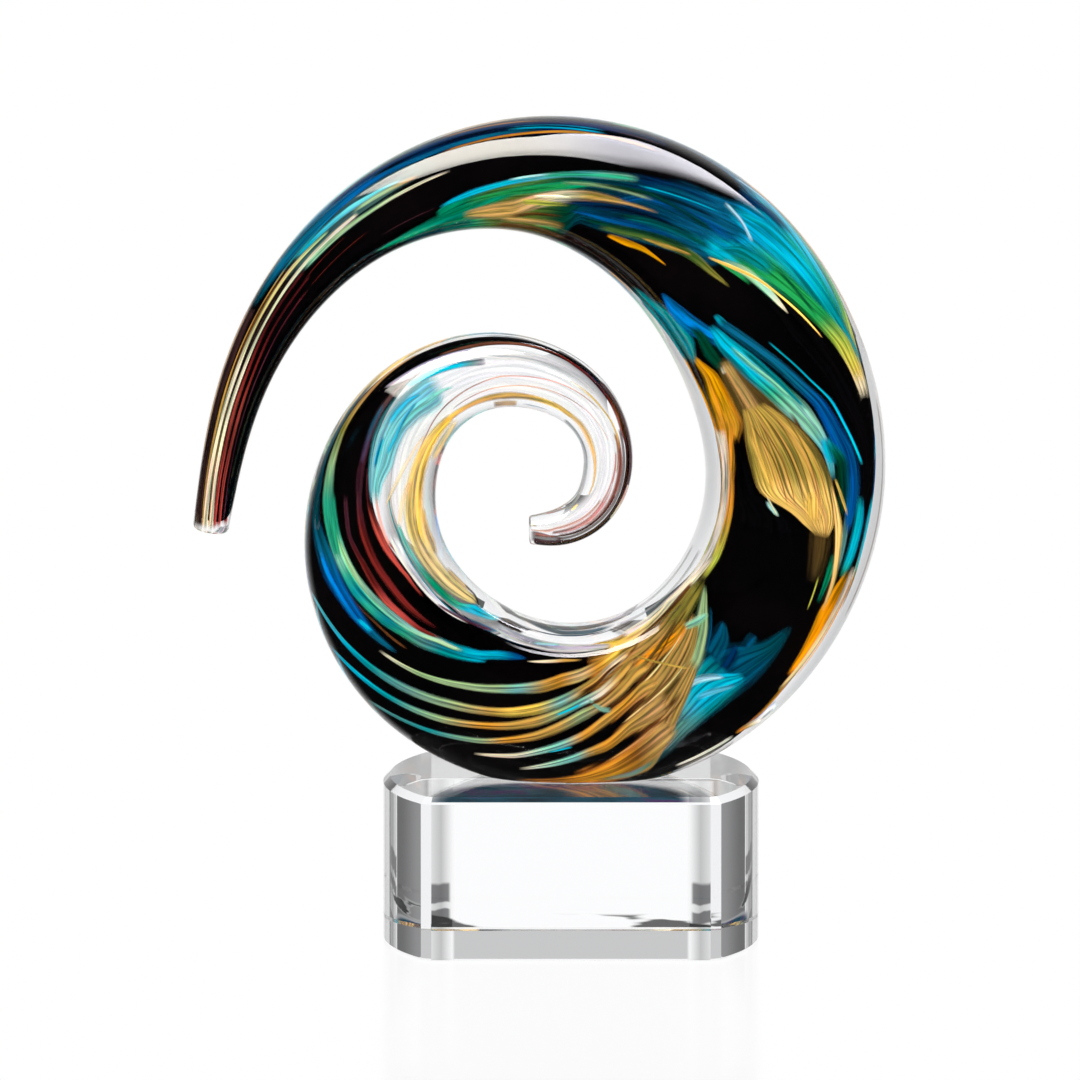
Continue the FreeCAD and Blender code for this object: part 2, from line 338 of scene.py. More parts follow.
blackCore = {
    "sides": 40, "body": (-4, 634, 2.0),   # first turn, last turn, step
    "start": [(-7.5, 0.0), (-7.4, .5), (-7, .8), (-6, .97)], "end": [(634, .8), (635, .5), (635.3, 0.0)],
    "cover": [   # turn, and the core's edges in the picture, across the wave (-1 inside, 1 outside)
        (-9.5, -.85, .9), (-6, -.95, .95), (0, -.97, .97), (20, -.97, .97), (60, -.97, .95), (90, -.97, .97),
        (125, -.93, .96), (150, -.86, .95), (165, -.82, .88), (190, -.78, .84), (220, -.78, .86),
        (235, -.75, .95), (250, -.68, .97), (270, -.64, .98), (290, -.62, .99), (305, -.6, .98),
        (320, -.45, .97), (332, -.3, .97), (340, -.17, .96), (350, -.02, .95), (360, .1, .95),
        (370, .22, .95), (380, .33, .94), (390, .43, .93), (400, .52, .93), (406, .64, .93), (420, .68, .94),
        (440, .78, .95), (460, .78, .93), (480, .7, .93), (500, .72, .97), (540, .72, .97), (600, .74, .92),
        (625, .7, .95), (637, .5, .9),
    ],
}


def softTable(rows, wide):   # a table's columns at any turn, with corners rounded over that many degrees
    table = np.array(rows, float).T

    def read(t):
        t = np.atleast_1d(t)
        total = 0
        for weight, shift in ((.25, -wide), (.5, 0), (.25, wide)):
            parts = [np.interp(t + shift, table[0], part) for part in table[1:]]
            total = total + weight * np.stack(parts, axis=-1)
        return total
    return read


cover = softTable(blackCore["cover"], 3.0)


def coreCircle(t):   # radius and offset of the circle that the bending glass shows as the cover
    low, high = cover(t).T
    turnLow, turnHigh = (np.cos(np.arcsin(v) - np.arcsin(v / glassBend)) for v in (low, high))
    offset = (low + high) / glassBend / (turnLow + turnHigh)
    return high / glassBend - offset * turnHigh, offset


print("black core")
rings = blackCore["start"] + [(t, 1.0) for t in np.arange(*blackCore["body"])] + blackCore["end"]
core = makeRod("blackCore", [(t, 0.0, part) for t, part in rings], blackCore["sides"], coreCircle)
standIn(core, "dark_core", "black_glass", blackGlass("blackGlass"))

shades = {
    "cream": (246, 234, 204), "ivory": (250, 244, 228), "tan": (205, 160, 95), "gold": (198, 156, 74),
    "pale gold": (243, 214, 148), "amber": (228, 154, 42), "deep amber": (160, 100, 34),
    "orange": (250, 164, 6), "yellow": (248, 208, 86), "peach": (240, 190, 150), "brown": (100, 62, 28),
    "dark brown": (52, 34, 32), "mauve brown": (88, 62, 62), "olive": (132, 126, 52),
    "green olive": (88, 122, 50), "plum": (70, 32, 44), "mauve": (96, 78, 118), "red": (180, 72, 62),
    "red brown": (150, 84, 66), "dark red": (112, 34, 30), "wine": (62, 18, 20), "pink": (218, 132, 122),
    "salmon": (238, 176, 150), "highlight lilac": (188, 180, 204), "sage": (152, 184, 134), "navy": (0, 42, 84),
    "petrol": (8, 98, 134), "blue": (0, 88, 160), "bright blue": (0, 134, 220), "cyan": (0, 182, 214),
    "light cyan": (104, 210, 224), "pale cyan": (176, 230, 236), "teal": (0, 142, 152),
    "dark teal": (0, 64, 78), "grey teal": (92, 146, 142), "pale teal": (112, 198, 188),
    "aqua": (104, 206, 212), "emerald": (0, 152, 108), "dark green": (0, 64, 44), "green": (34, 162, 84),
    "sea green": (44, 176, 140), "mint": (150, 222, 192), "pale green": (176, 214, 158),
    "yellow green": (196, 206, 78), "smoke": (0, 78, 108), "slate": (74, 108, 108), "brass": (176, 140, 74),
    "bronze": (134, 110, 48), "umber": (96, 74, 36), "black": (5, 4, 6), "grey": (164, 165, 170),
    "silver": (190, 191, 198), "pale grey": (206, 207, 212), "white": (250, 250, 250),
}
lay = {
    "rowStep": 1.1, "round": 1.0,   # degrees
    "fewestRows": 6, "mostRows": 110,
    "layerStep": .0022, "layerApart": 40,   # each streak lies a little further out and has hairs of its own
    "mirrorBefore": 318,   # streaks that start later show from both sides through the clear curl
    "rounds": 6, "gap": .01, "firstLayer": .76, "spread": .05, "behind": .03, "behindFade": .05,
}


# A row is a turn, the streak's edges across the wave (-1 inside, 1 outside) and, where it changes, its shade.
def streak(shade, *rows, fade=2.5, soft=.25, strength=1.0, columns=8):
    return dict(shade=shade, rows=rows, fade=fade, soft=soft, strength=strength, columns=columns)


def meeting(v, depth):   # the angle at which the bent ray at v meets a layer
    return np.arcsin(np.clip(v / (glassBend * depth), -.999, .999))


def hugging(t, v, layer, turned):   # depth of a layer that lies close to the black core
    radius, shift = coreCircle(t)
    depth = radius + lay["gap"]
    apart = lay["gap"] + (layer - lay["firstLayer"]) * lay["spread"]
    for _ in range(lay["rounds"]):
        lean = np.sin(meeting(v, depth) + turned)
        depth = shift * lean + np.sqrt(radius ** 2 - shift ** 2 * (1 - lean ** 2)) + apart
    return depth


# A streak lies on a layer inside the wave, so that it shows where its rows say. The far side has the same
# streaks, mirrored, which stay behind the black core.
def makeStroke(name, stroke, layer, mirrored):
    shade, rows = stroke["shade"], stroke["rows"]
    first, last = rows[0][0], rows[-1][0]
    table = []
    for turn, low, high, *change in rows:
        shade = change[0] if change else shade
        table.append([turn, low, high, *linear(shades[shade])])
    table = np.array(table, float)
    read = softTable(table, lay["round"])
    rowCount = max(lay["fewestRows"], min(lay["mostRows"], round((last - first) / lay["rowStep"])))

    def shape(row, column):
        t = first + (last - first) * row
        low, high, *tint = read(t).T
        v = np.clip(low + (high - low) * column, -.995, .995)
        r, tx, tz, speed = section(t)[2:]
        outer = np.arcsin(v)
        turned = outer - np.arcsin(v / glassBend)
        depth = hugging(t, v, layer, turned) if mirrored else np.full_like(t, layer)
        lean = meeting(v, depth) + turned
        inside = math.tan(math.asin(math.sin(viewTilt) / glassBend))
        rise = r * (np.cos(outer) * (math.tan(viewTilt) - inside) + depth * np.cos(lean) * inside)
        points = spot(t + rise * tz / speed, depth, lean + np.arctan(math.tan(viewTilt) * tx))
        length, edge = np.minimum(t - first, last - t), np.minimum(column, 1 - column)
        alpha = stroke["strength"] * np.clip(length / stroke["fade"], 0, 1)
        alpha = alpha * np.clip(edge / stroke["soft"], 0, 1)
        if mirrored:
            points[:, 1] *= -1
            for inward in (v - cover(t)[:, 0], cover(t)[:, 1] - v):
                alpha = alpha * np.clip((inward - lay["behind"]) / lay["behindFade"], 0, 1)
        wide = r.mean() * np.abs(table[:, 2] - table[:, 1]).mean()   # in millimetres
        uv = np.stack([t * speed.mean(), column * wide + lay["layerApart"] * layer], axis=1)
        return points, (uv, np.stack([*tint, alpha], axis=1))
    return shapedGrid(name, rowCount, stroke["columns"], shape)


def paintPiece(name, info):   # all the streaks of one colour family, joined
    made = []
    for index, stroke in enumerate(info["strokes"]):
        layer = info["layer"] + lay["layerStep"] * index
        made.append(makeStroke(name, stroke, layer, False))
        if stroke["rows"][0][0] < info.get("mirrorBefore", lay["mirrorBefore"]):
            made.append(makeStroke(name, stroke, layer, True))
    clearSelection()
    for piece in made:
        piece.select_set(True)
    bpy.context.view_layer.objects.active = made[0]
    if len(made) > 1:
        bpy.ops.object.join()
    made[0].name = made[0].data.name = name
    standIn(made[0], info["node"], info["slot"], streakedGlass(name + "Glass"))
    print(name, len(made), "streaks")


creamStripes = {"layer": .800, "node": "cream_ribbon", "slot": "cream_glass", "strokes": [
    streak("cream", (-9.5, .1, .44), (-8, .2, .52), (0, .33, .57), (10, .33, .54), (20, .32, .51),
           (30, .4, .54, "pale gold"), (40, .42, .54), (50, .38, .46, "pale green"), fade=.3),
    streak("cream", (-9.5, -.12, .08), (-8, -.12, .13), (-5, -.02, .18), (0, .08, .26), (10, .1, .3),
           (20, .1, .25), (30, .17, .28), (40, .2, .31), (56, .2, .34), fade=.3),
    streak("tan", (-9.3, .06, .1), (-5, .18, .21), (0, .27, .31), (8, .29, .32, "brown"), (14, .27, .31),
           fade=.3),
    streak("mint", (42, .1, .25), (50, .09, .23, "pale green"), (58, .09, .2), (65, .13, .22, "cream"),
           (74, .22, .27)),
    streak("silver", (-9.6, -.75, -.02), (-9.0, -.92, -.3), (-8.3, -.96, -.66), fade=.15, soft=.15,
           strength=.9),
    streak("cream", (149, -.58, -.5), (151.5, -.58, -.5), fade=.8),
    streak("mint", (131, .06, .1), (135, .13, .3), (140, .23, .38), (146, .37, .4), soft=.3),
    streak("ivory", (165, -.85, -.72), (180, -.82, -.72), (205, -.8, -.7), (225, -.84, -.74),
           (245, -.8, -.7), strength=.8),
    streak("cream", (205, -.73, -.66), (215, -.79, -.71), (225, -.82, -.74), (235, -.76, -.66, "pale gold"),
           (247, -.72, -.6, "yellow"), (255, -.76, -.66), strength=.9),
    streak("cream", (196, .8, .86), (210, .8, .86, "pale gold"), (222, .82, .87), strength=.9),
    streak("ivory", (233, .9, .935), (238, .9, .94), (244, .91, .94), fade=1.2),
    # painted glint: a small white highlight on the outer rim
    streak("white", (224.5, .92, .98), (228, .92, .98), fade=.8),
    # painted highlight: a pale grey band where the overhead softbox reflects on the bottom of the wave
    streak("silver", (249, -.7, -.64), (258, -.74, -.63), (270, -.76, -.63), (280, -.77, -.65),
           (290, -.78, -.68), soft=.15),
    streak("pale cyan", (266, -.75, -.71), (272, -.74, -.69), (276, -.72, -.68), fade=2),
    streak("white", (299, -.6, -.56), (306, -.57, -.5), (315, -.55, -.44), (325, -.5, -.38),
           (335, -.43, -.28), (341, -.36, -.22), fade=5, soft=.2),
    streak("pale gold", (301, -.86, -.81), (304, -.9, -.77), (312, -.9, -.69), (320, -.88, -.63),
           (330, -.86, -.56), (340, -.83, -.5, "yellow"), (350, -.84, -.48), (365, -.83, -.5),
           (385, -.83, -.55), (400, -.82, -.6), soft=.2, strength=.9, columns=12),
    streak("pale gold", (343, -.46, -.38), (352, -.52, -.42), (362, -.62, -.5), soft=.4, strength=.7),
    streak("pale gold", (350, -.24, -.18), (360, -.4, -.3), (372, -.5, -.42), (384, -.56, -.5), soft=.4,
           strength=.7),
]}
paintPiece("creamStripes", creamStripes)

plumStripes = {"layer": .822, "node": "aubergine_ribbons", "slot": "aubergine_glass", "strokes": [
    streak("dark brown", (-9.4, .46, .86), (-5, .6, .92), (0, .65, .96), (20, .65, .92), (31, .68, .92),
           fade=.4, soft=.12),
    streak("red", (-9.2, -.3, -.1), (-5, -.2, -.02), (0, -.13, .07), (10, -.12, .08),
           (20, -.07, .08, "dark red"), (30, .02, .16, "wine"), (42, .08, .2), fade=.3),
    streak("red", (-8.8, -.55, -.38), (-4, -.42, -.25), (0, -.36, -.18), (10, -.36, -.18),
           (20, -.28, -.17, "dark red"), (30, -.2, -.08, "wine"), (42, -.14, -.05), fade=.3),
    streak("plum", (-8, -.7, -.6), (0, -.52, -.43), (20, -.46, -.39), (40, -.36, -.28, "wine")),
    streak("dark red", (40, -.06, -.04), (46, -.03, -.01), (52, 0, .02), strength=.8),
    streak("dark red", (40, -.33, -.31), (48, -.29, -.27), (56, -.25, -.23), strength=.7),
    streak("plum", (57, -.51, -.49), (64, -.48, -.45), (70, -.43, -.4), strength=.6),
    streak("dark red", (302, -.24, -.2), (308, -.15, -.07), (315, -.07, .03, "red"), (320, 0, .12),
           (325, .05, .17, "dark red"), (332, .14, .24), (340, .3, .38, "plum"), (352, .4, .48)),
    streak("wine", (305, -.3, -.25), (315, -.22, -.1, "dark red"), (325, -.13, 0), (332, -.04, .1),
           (340, .05, .2), (350, .16, .27, "plum"), (362, .26, .34)),
    streak("dark red", (316, -.41, -.37), (325, -.37, -.3, "red"), (330, -.31, -.22), (335, -.26, -.12),
           (342, -.16, -.01), (350, 0, .1, "wine"), (362, .13, .22, "plum")),
    streak("salmon", (336, -.27, -.21), (345, -.16, -.1), (352, -.08, -.03), (360, .02, .05), strength=.9),
    streak("plum", (352, .16, .3), (360, .22, .36), (370, .3, .42), (380, .4, .55, "mauve brown"),
           (390, .47, .57), (400, .52, .56), strength=.9),
    streak("mauve", (362, .28, .36), (368, .3, .42), (375, .38, .5, "petrol"), (383, .46, .54), soft=.4,
           strength=.6),
    streak("mauve", (289, -.7, -.64), (296, -.67, -.6), (303, -.6, -.55), (312, -.5, -.46), strength=.8),
    streak("dark red", (290, -.68, -.66), (300, -.6, -.57), (312, -.5, -.47), strength=.8),
]}
paintPiece("plumStripes", plumStripes)

blueFlames = {"layer": .852, "node": "blue_ribbons", "slot": "blue_glass", "strokes": [
    streak("dark teal", (31, .76, .88), (34, .72, .96), (40, .64, .97, "petrol"), (50, .6, .88),
           (60, .67, .84, "blue"), (70, .64, .76, "petrol"), (80, .66, .78), (90, .74, .8, "dark teal")),
    streak("cyan", (36, .62, .66), (46, .6, .64), (54, .66, .7, "bright blue"), (64, .7, .74),
           (76, .7, .74), strength=.8),
    streak("navy", (52, .86, .96), (60, .84, .95), (70, .8, .93), (85, .82, .93), (100, .84, .95),
           (110, .86, .96), strength=.95),
    streak("cyan", (42, .54, .6), (46, .48, .6), (55, .42, .6, "light cyan"), (60, .4, .52), (66, .4, .46)),
    streak("cyan", (84, .78, .82), (100, .79, .82), strength=.8),
    streak("cyan", (70, -.46, -.4), (73, -.42, -.3), (77, -.36, -.2), (82, -.26, -.12), (86, -.18, -.05),
           (90, -.1, 0, "light cyan"), (95, .02, .12), (99, .08, .22), (103, .15, .3, "mint"),
           (108, .26, .38), soft=.35),
    streak("navy", (98, -.4, -.2), (105, -.36, .06), (110, -.05, .38, "smoke"), (115, -.02, .5),
           (120, .04, .58, "petrol"), (126, .14, .68), (130, .3, .72, "navy"), soft=.35),
    streak("blue", (103, -.3, -.18), (110, .05, .2), (116, .15, .28), (122, .22, .36), (128, .3, .42),
           soft=.45, strength=.8),
    streak("teal", (108, -.3, -.2), (114, -.18, -.02), (120, -.08, .1), (126, .02, .16), soft=.4,
           strength=.85),
    streak("navy", (123, .7, .9), (128, .84, .94), (134, .86, .94), strength=.9),
    streak("cyan", (125, .5, .7), (130, .5, .85), (140, .6, .9), (148, .68, .91, "teal"), (155, .78, .92),
           (160, .86, .92)),
    # painted highlight: a pale line along the edge of the cyan patch
    streak("pale cyan", (122.5, .6, .66), (127, .57, .62), (131, .48, .53), fade=1),
    streak("bright blue", (125, -.72, -.68), (130, -.8, -.62), (135, -.78, -.55), (140, -.68, -.45),
           (147, -.42, -.24), soft=.3),
    streak("cyan", (137.6, -.38, -.32), (140, -.38, -.27), (142, -.33, -.27), fade=1),
    streak("petrol", (139, -.42, -.3), (145, -.3, -.15), (150, -.17, -.02), (155, -.03, .13),
           (160, .1, .27), (165, .26, .43, "blue"), (170, .34, .54), (175, .42, .68), (178, .46, .72),
           (183, .52, .74), (191, .64, .68)),
    streak("cyan", (149, .02, .05), (152, .09, .12), (155, .17, .2), (160, .3, .33), (165, .46, .5),
           (170, .55, .59), (178, .72, .76), fade=1.5),
    streak("cyan", (139, -.5, -.42), (145, -.52, -.3), (150, -.45, -.17), (155, -.36, -.05),
           (160, -.22, .08, "sea green"), (165, -.08, .24, "mint"), (170, .12, .34),
           (175, .3, .42, "light cyan"), (181, .4, .45), soft=.18, columns=12),
    streak("mint", (146, -.42, -.34), (152, -.3, -.2), (158, -.12, -.02), (163, .02, .12), soft=.4,
           strength=.8),
    streak("teal", (148, -.3, -.24), (154, -.16, -.09), (160, 0, .06), (166, .17, .22), soft=.3),
    streak("cyan", (183.5, .7, .78), (188, .7, .82), (195, .7, .82), (199, .7, .78, "green"), soft=.3),
    streak("cyan", (172, .28, .4), (175.5, .3, .47), (178, .38, .48), fade=1.2),
    streak("pale cyan", (186, -.31, -.27), (188, -.28, -.16), (189.6, -.15, -.11), fade=.8),
    streak("blue", (276, -.52, -.49), (280, -.54, -.43), (285, -.5, -.36, "cyan"), (291, -.38, -.24),
           (297, -.32, -.14, "teal"), soft=.3),
    streak("petrol", (307, .28, .34), (314, .36, .48), (320, .4, .6, "blue"), (325, .45, .68),
           (330, .5, .78), (336, .56, .84, "petrol"), (345, .78, .92, "dark teal"), (360, .88, .95),
           (385, .92, .97)),
    streak("bright blue", (314, .4, .46), (320, .5, .58), (326, .58, .66), (332, .68, .76), (337, .75, .8),
           soft=.35),
    streak("cyan", (314.6, .39, .46), (317, .43, .5), (319, .48, .53), fade=1),
]}
paintPiece("blueFlames", blueFlames)

greenFlames = {"layer": .90, "node": "emerald_ribbon", "slot": "emerald_glass", "strokes": [
    streak("emerald", (54, -.8, -.77), (60, -.88, -.72), (65, -.93, -.65), (70, -.92, -.55),
           (75, -.85, -.47), (80, -.6, -.36), (85, -.4, -.22), (90, -.33, -.1), (95, -.22, 0),
           (101, 0, .08), soft=.3),
    streak("dark teal", (60, -.95, -.86), (70, -.95, -.82), (77, -.93, -.78), strength=.8),
    streak("green", (75, -.5, -.4), (82, -.42, -.28), (90, -.3, -.16), (97, -.12, 0), soft=.4, strength=.9),
    streak("green", (89, -.86, -.77), (96, -.84, -.76), strength=.8),
    streak("green", (130, .18, .34), (134, .24, .5), (137, .32, .58), (145, .5, .7), (150, .6, .8),
           (155, .7, .88, "yellow green"), (163, .78, .9, "yellow"), soft=.2),
    streak("dark green", (137, .5, .56), (143, .56, .61), (149, .62, .67), soft=.4, strength=.8),
    streak("mint", (129.5, .08, .14), (134, .16, .3, "pale green"), (140, .25, .36, "mint"),
           (144, .32, .38, "cream"), (146, .37, .385), fade=1.5),
    streak("green", (127, 0, .06), (131, .06, .12), (137, .16, .22), strength=.9),
    streak("teal", (127, .08, .14), (130, .2, .48), (135, .32, .56), (138, .4, .54), soft=.35),
    streak("green olive", (104, -.57, -.48), (110, -.48, -.3), (115, -.37, -.2), (120, -.26, -.1),
           (125, -.18, -.04), (130, -.13, -.04, "olive"), (135, -.04, -.01), soft=.3),
    streak("dark green", (136, -.7, -.6), (140, -.68, -.54), (145, -.7, -.52), (151, -.6, -.48),
           strength=.95),
    streak("tan", (148, -.57, -.45), (154, -.54, -.4), (160, -.5, -.3), (167, -.44, -.2), soft=.35),
    streak("emerald", (173, .32, .44), (177, .42, .6, "dark green"), (182, .44, .62), (188, .52, .6),
           soft=.3),
    streak("emerald", (195, .54, .68), (198, .55, .64), (205, .6, .64), strength=.9),
    streak("yellow green", (200, .49, .51), (207, .54, .56), fade=1.5),
    streak("sage", (176, -.3, -.1), (181, -.3, .1), (185, -.24, .06), soft=.4, strength=.5),
    streak("light cyan", (290, -.86, -.8), (294, -.84, -.74), (298, -.84, -.7, "cyan"), (302, -.84, -.66),
           (307, -.72, -.6, "sea green"), (313, -.69, -.57, "emerald"), (320, -.66, -.54),
           (330, -.57, -.49, "pale teal"), (345, -.44, -.36), soft=.2),
    streak("green", (334, .48, .58, "sea green"), (342, .52, .7), (350, .6, .8), (360, .72, .86, "sage"),
           (370, .8, .9, "olive"), (385, .84, .9, "tan"), (402, .88, .91), soft=.2),
]}
paintPiece("greenFlames", greenFlames)

goldStreaks = {"layer": .932, "node": "gold_ribbon", "slot": "gold_glass", "strokes": [
    streak("tan", (-9.2, .4, .5), (-5, .52, .6), (0, .55, .65), (12, .53, .65, "gold"), (20, .58, .64),
           (40, .6, .64), fade=.4),
    streak("tan", (2, .93, .96), (14, .92, .97), (32, .93, .96), strength=.9),
    streak("yellow", (55, .34, .46, "pale green"), (62, .31, .44), (69, .32, .41, "amber"), soft=.35),
    streak("amber", (73, .64, .67), (85, .67, .72), (95, .73, .78), (103, .75, .8), (109, .77, .79),
           strength=.85),
    streak("tan", (74, -.78, -.62), (80, -.84, -.5), (85, -.82, -.42), (90, -.58, -.28, "peach"),
           (95, -.42, -.16, "cream"), (100, -.3, -.06, "gold"), (108, -.1, 0, "olive"), soft=.3),
    streak("yellow green", (86, -.55, -.42), (92, -.5, -.4), (97, -.42, -.34, "olive"), strength=.85),
    streak("brown", (80, -.97, -.86), (90, -.95, -.85), (98, -.93, -.86), strength=.9),
    streak("tan", (82, -.86, -.76), (90, -.85, -.72), (97, -.78, -.66, "gold"), soft=.35, strength=.85),
    streak("orange", (106.5, -.6, -.54), (111, -.58, -.47), (115, -.5, -.42), (121.5, -.44, -.42), fade=1),
    streak("gold", (113.5, -.37, -.34), (119, -.29, -.21), (124.5, -.14, -.1), fade=1),
    streak("mint", (179.5, -.06, .02), (182, -.16, .06), (184.5, -.22, .02), (186, -.2, -.08), fade=1.5,
           soft=.4, strength=.75),
    streak("brown", (165, -.02, .04), (170, .08, .12), (175, .2, .23), (178, .28, .3), soft=.3),
    streak("brown", (165, -.18, -.13), (170, -.08, 0), (174, .02, .07), (178, .13, .15), soft=.3),
    streak("umber", (167, -.3, -.24), (172, -.22, -.16), (177, -.1, -.06), soft=.3),
    streak("brown", (172, -.46, -.43), (178, -.4, -.36), (184, -.3, -.27), soft=.3),
    streak("cream", (183.5, -.34, -.31), (187, -.25, -.22), (189.7, -.14, -.12), fade=.8),
    streak("pale cyan", (84, -.13, -.08), (90, -.03, .02), (96, .08, .12), (99, .12, .15), fade=2),
    streak("sea green", (90, -.08, .04), (98, .06, .18), (104, .18, .3), (108, .28, .36), soft=.4),
    streak("sage", (94, -.12, -.04), (104, .02, .12), (112, .12, .2), soft=.4, strength=.8),
    streak("tan", (99, -.28, -.18), (107, -.1, -.02), (114, .02, .07), soft=.4, strength=.8),
    streak("navy", (95, -.42, -.34), (103, -.3, -.14), (110, -.14, -.04), (118, 0, .06), soft=.35),
    streak("blue", (97, -.5, -.43), (105, -.44, -.33), (112, -.3, -.2), (119, -.14, -.06), soft=.4),
    streak("dark green", (100, -.56, -.5), (108, -.46, -.36), (116, -.28, -.16), (124, -.1, -.02), soft=.35,
           strength=.9),
    streak("cyan", (108, .22, .25), (116, .36, .39), (124, .5, .53), strength=.8),
    streak("navy", (106, .28, .38), (114, .4, .5), (122, .52, .62), soft=.4, strength=.7),
    streak("black", (98, .22, .26), (106, .36, .44), (114, .46, .56), (121, .6, .66), soft=.45,
           strength=.8),
    streak("black", (100, 0, .05), (108, .1, .2), (116, .26, .34), (124, .4, .46), soft=.45, strength=.75),
    streak("dark green", (103, .04, .1), (110, .16, .24), (117, .18, .28), (125, .22, .34), soft=.4,
           strength=.9),
    streak("black", (100, -.34, -.28), (107, -.2, -.12), (115, -.06, 0), (123, .06, .12), soft=.45,
           strength=.8),
    streak("dark green", (106, -.3, -.22), (113, -.16, -.06), (120, -.04, .06), (127, .06, .16), soft=.4,
           strength=.8),
    streak("brown", (84, -.8, -.72), (89, -.7, -.63), (96, -.61, -.57), strength=.9),
    streak("cream", (89, -.4, -.35), (94, -.33, -.27), (97, -.28, -.25), fade=1.5),
    streak("gold", (127, -.02, .01), (132, .11, .17), (137, .27, .31), (142, .38, .41), (147, .48, .51),
           (153, .59, .61), fade=1.5),
    streak("amber", (110, -.97, -.95), (120, -.97, -.95), strength=.7),
    streak("bronze", (161, -.5, -.25), (166, -.52, -.04), (170, -.54, .12), (175, -.52, .28),
           (180, -.47, .4), (183, -.42, .45, "brass"), (185, -.34, .48), (186.5, -.2, .5),
           (188.5, .02, .51), (190.5, .14, .5), (192.5, .34, .46), fade=1.5, soft=.06, columns=20),
    *[streak("brown", (165, v, v + .02), (175, v + .2, v + .225), (187, v + .4, v + .42), strength=.55)
      for v in (-.46, -.37, -.27, -.18, -.08)],
    streak("gold", (183, .08, .33), (187, .1, .37), (191, .2, .36), soft=.4, strength=.8),
    streak("gold", (168, -.5, -.44), (176, -.42, -.34), (183, -.3, -.22), soft=.4, strength=.7),
    streak("tan", (182, .38, .42), (190, .5, .6), (200, .64, .7), (206, .68, .72)),
    streak("gold", (180.5, .42, .45), (185, .53, .57), (187.5, .61, .63), fade=1),
    streak("pale grey", (452, .18, .24), (462, .2, .28), (480, .24, .34, "brass"), (490, .3, .38),
           (500, .39, .47, "gold"), (510, .43, .52, "tan"), (521, .43, .5, "red brown"), strength=.9),
    streak("brass", (462, -.66, -.54), (476, -.74, -.56), (490, -.72, -.48), (505, -.74, -.46),
           (515, -.7, -.46), (530, -.6, -.44), (550, -.5, -.4), (562, -.48, -.42), soft=.3, strength=.9),
    streak("yellow", (578, -.64, -.56), (586, -.64, -.46), (590, -.6, -.5), soft=.4, strength=.6),
]}
paintPiece("goldStreaks", goldStreaks)

amberBands = {"layer": .78, "node": "amber_ribbons", "slot": "amber_glass", "strokes": [
    streak("umber", (147, -.62, -.44), (154, -.62, -.3), (160, -.6, -.14), (166, -.56, .06),
           (171, -.54, .2), (176, -.5, .34), (180, -.44, .4), soft=.1, columns=14),
    streak("brass", (216, -.74, -.62), (224, -.74, -.5), (232, -.68, -.38), (240, -.66, -.24),
           (248, -.64, -.12), (258, -.6, .02, "deep amber"), soft=.1, columns=16),
    streak("brass", (222, -.52, -.4), (228, -.44, -.18), (234, -.36, .02), (240, -.24, .2),
           (246, -.12, .36), (254, .04, .52, "deep amber"), soft=.1, columns=16),
    streak("brass", (230, -.12, 0), (235, -.02, .2), (240, .1, .42), (244, .22, .66), (248, .36, .9),
           (254, .58, .94, "deep amber"), (262, .78, .95), soft=.1, columns=16),
    streak("orange", (143, -.82, -.78), (147, -.81, -.7), (150, -.8, -.62), (155, -.83, -.58),
           (165, -.83, -.5, "amber"), (170, -.8, -.6), (180, -.76, -.67), (190, -.73, -.64),
           (205, -.72, -.6, "yellow green"), (213, -.7, -.63, "olive")),
    streak("orange", (197, .76, .83), (201, .7, .82), (206, .66, .82), (215, .74, .82), (219, .77, .83),
           soft=.2),
    streak("amber", (218, .81, .85), (225, .86, .9), (231, .89, .92, "red"), fade=1.5),
    # painted glint: a small white highlight with rainbow colours on the outer rim
    streak("pale cyan", (223.4, .88, .97), (225.5, .89, .99, "white"), (228.2, .9, .99),
           (229.4, .88, .96, "yellow green"), (230.6, .88, .94, "red"), (232.5, .88, .92, "orange"),
           fade=1),
    streak("gold", (306, -.93, -.89), (315, -.92, -.83), (322, -.89, -.84), fade=3, strength=.8),
    streak("gold", (328, -.86, -.79), (335, -.9, -.76), (345, -.86, -.76), (352, -.84, -.78), fade=3,
           strength=.8),
    streak("amber", (338, -.7, -.66), (350, -.78, -.73), (370, -.78, -.72), (385, -.78, -.7, "yellow"),
           (400, -.78, -.62), (410, -.78, -.64, "gold"), (420, -.8, -.6), (434, -.82, -.56),
           (445, -.78, -.56), (460, -.76, -.56, "yellow"), (482, -.74, -.56), strength=.95),
    streak("gold", (425, -.98, -.8), (429, -.99, -.8), (438, -.99, -.8), (441, -.97, -.8), fade=1.5,
           strength=.8),
    streak("yellow", (374, -.92, -.8), (382, -.97, -.8), (392, -.98, -.8), (402, -.9, -.78), fade=4,
           strength=.6),
    streak("red brown", (372, -.61, -.58), (385, -.56, -.53), (395, -.48, -.45), (401, -.44, -.4, "brown"),
           (408, -.4, -.35, "salmon"), (420, -.3, -.26), (430, -.2, -.15, "peach"),
           (440, -.15, -.11, "salmon"), (460, -.01, .03), (480, .12, .17), (490, .22, .25), strength=.9),
    streak("grey", (402, -.6, -.57), (412, -.56, -.53, "red brown"), (425, -.5, -.46, "salmon"),
           (445, -.39, -.34, "peach"), (465, -.29, -.25, "salmon"), (480, -.21, -.17), (500, -.03, 0),
           (512, .09, .12), strength=.8),
]}
paintPiece("amberBands", amberBands)

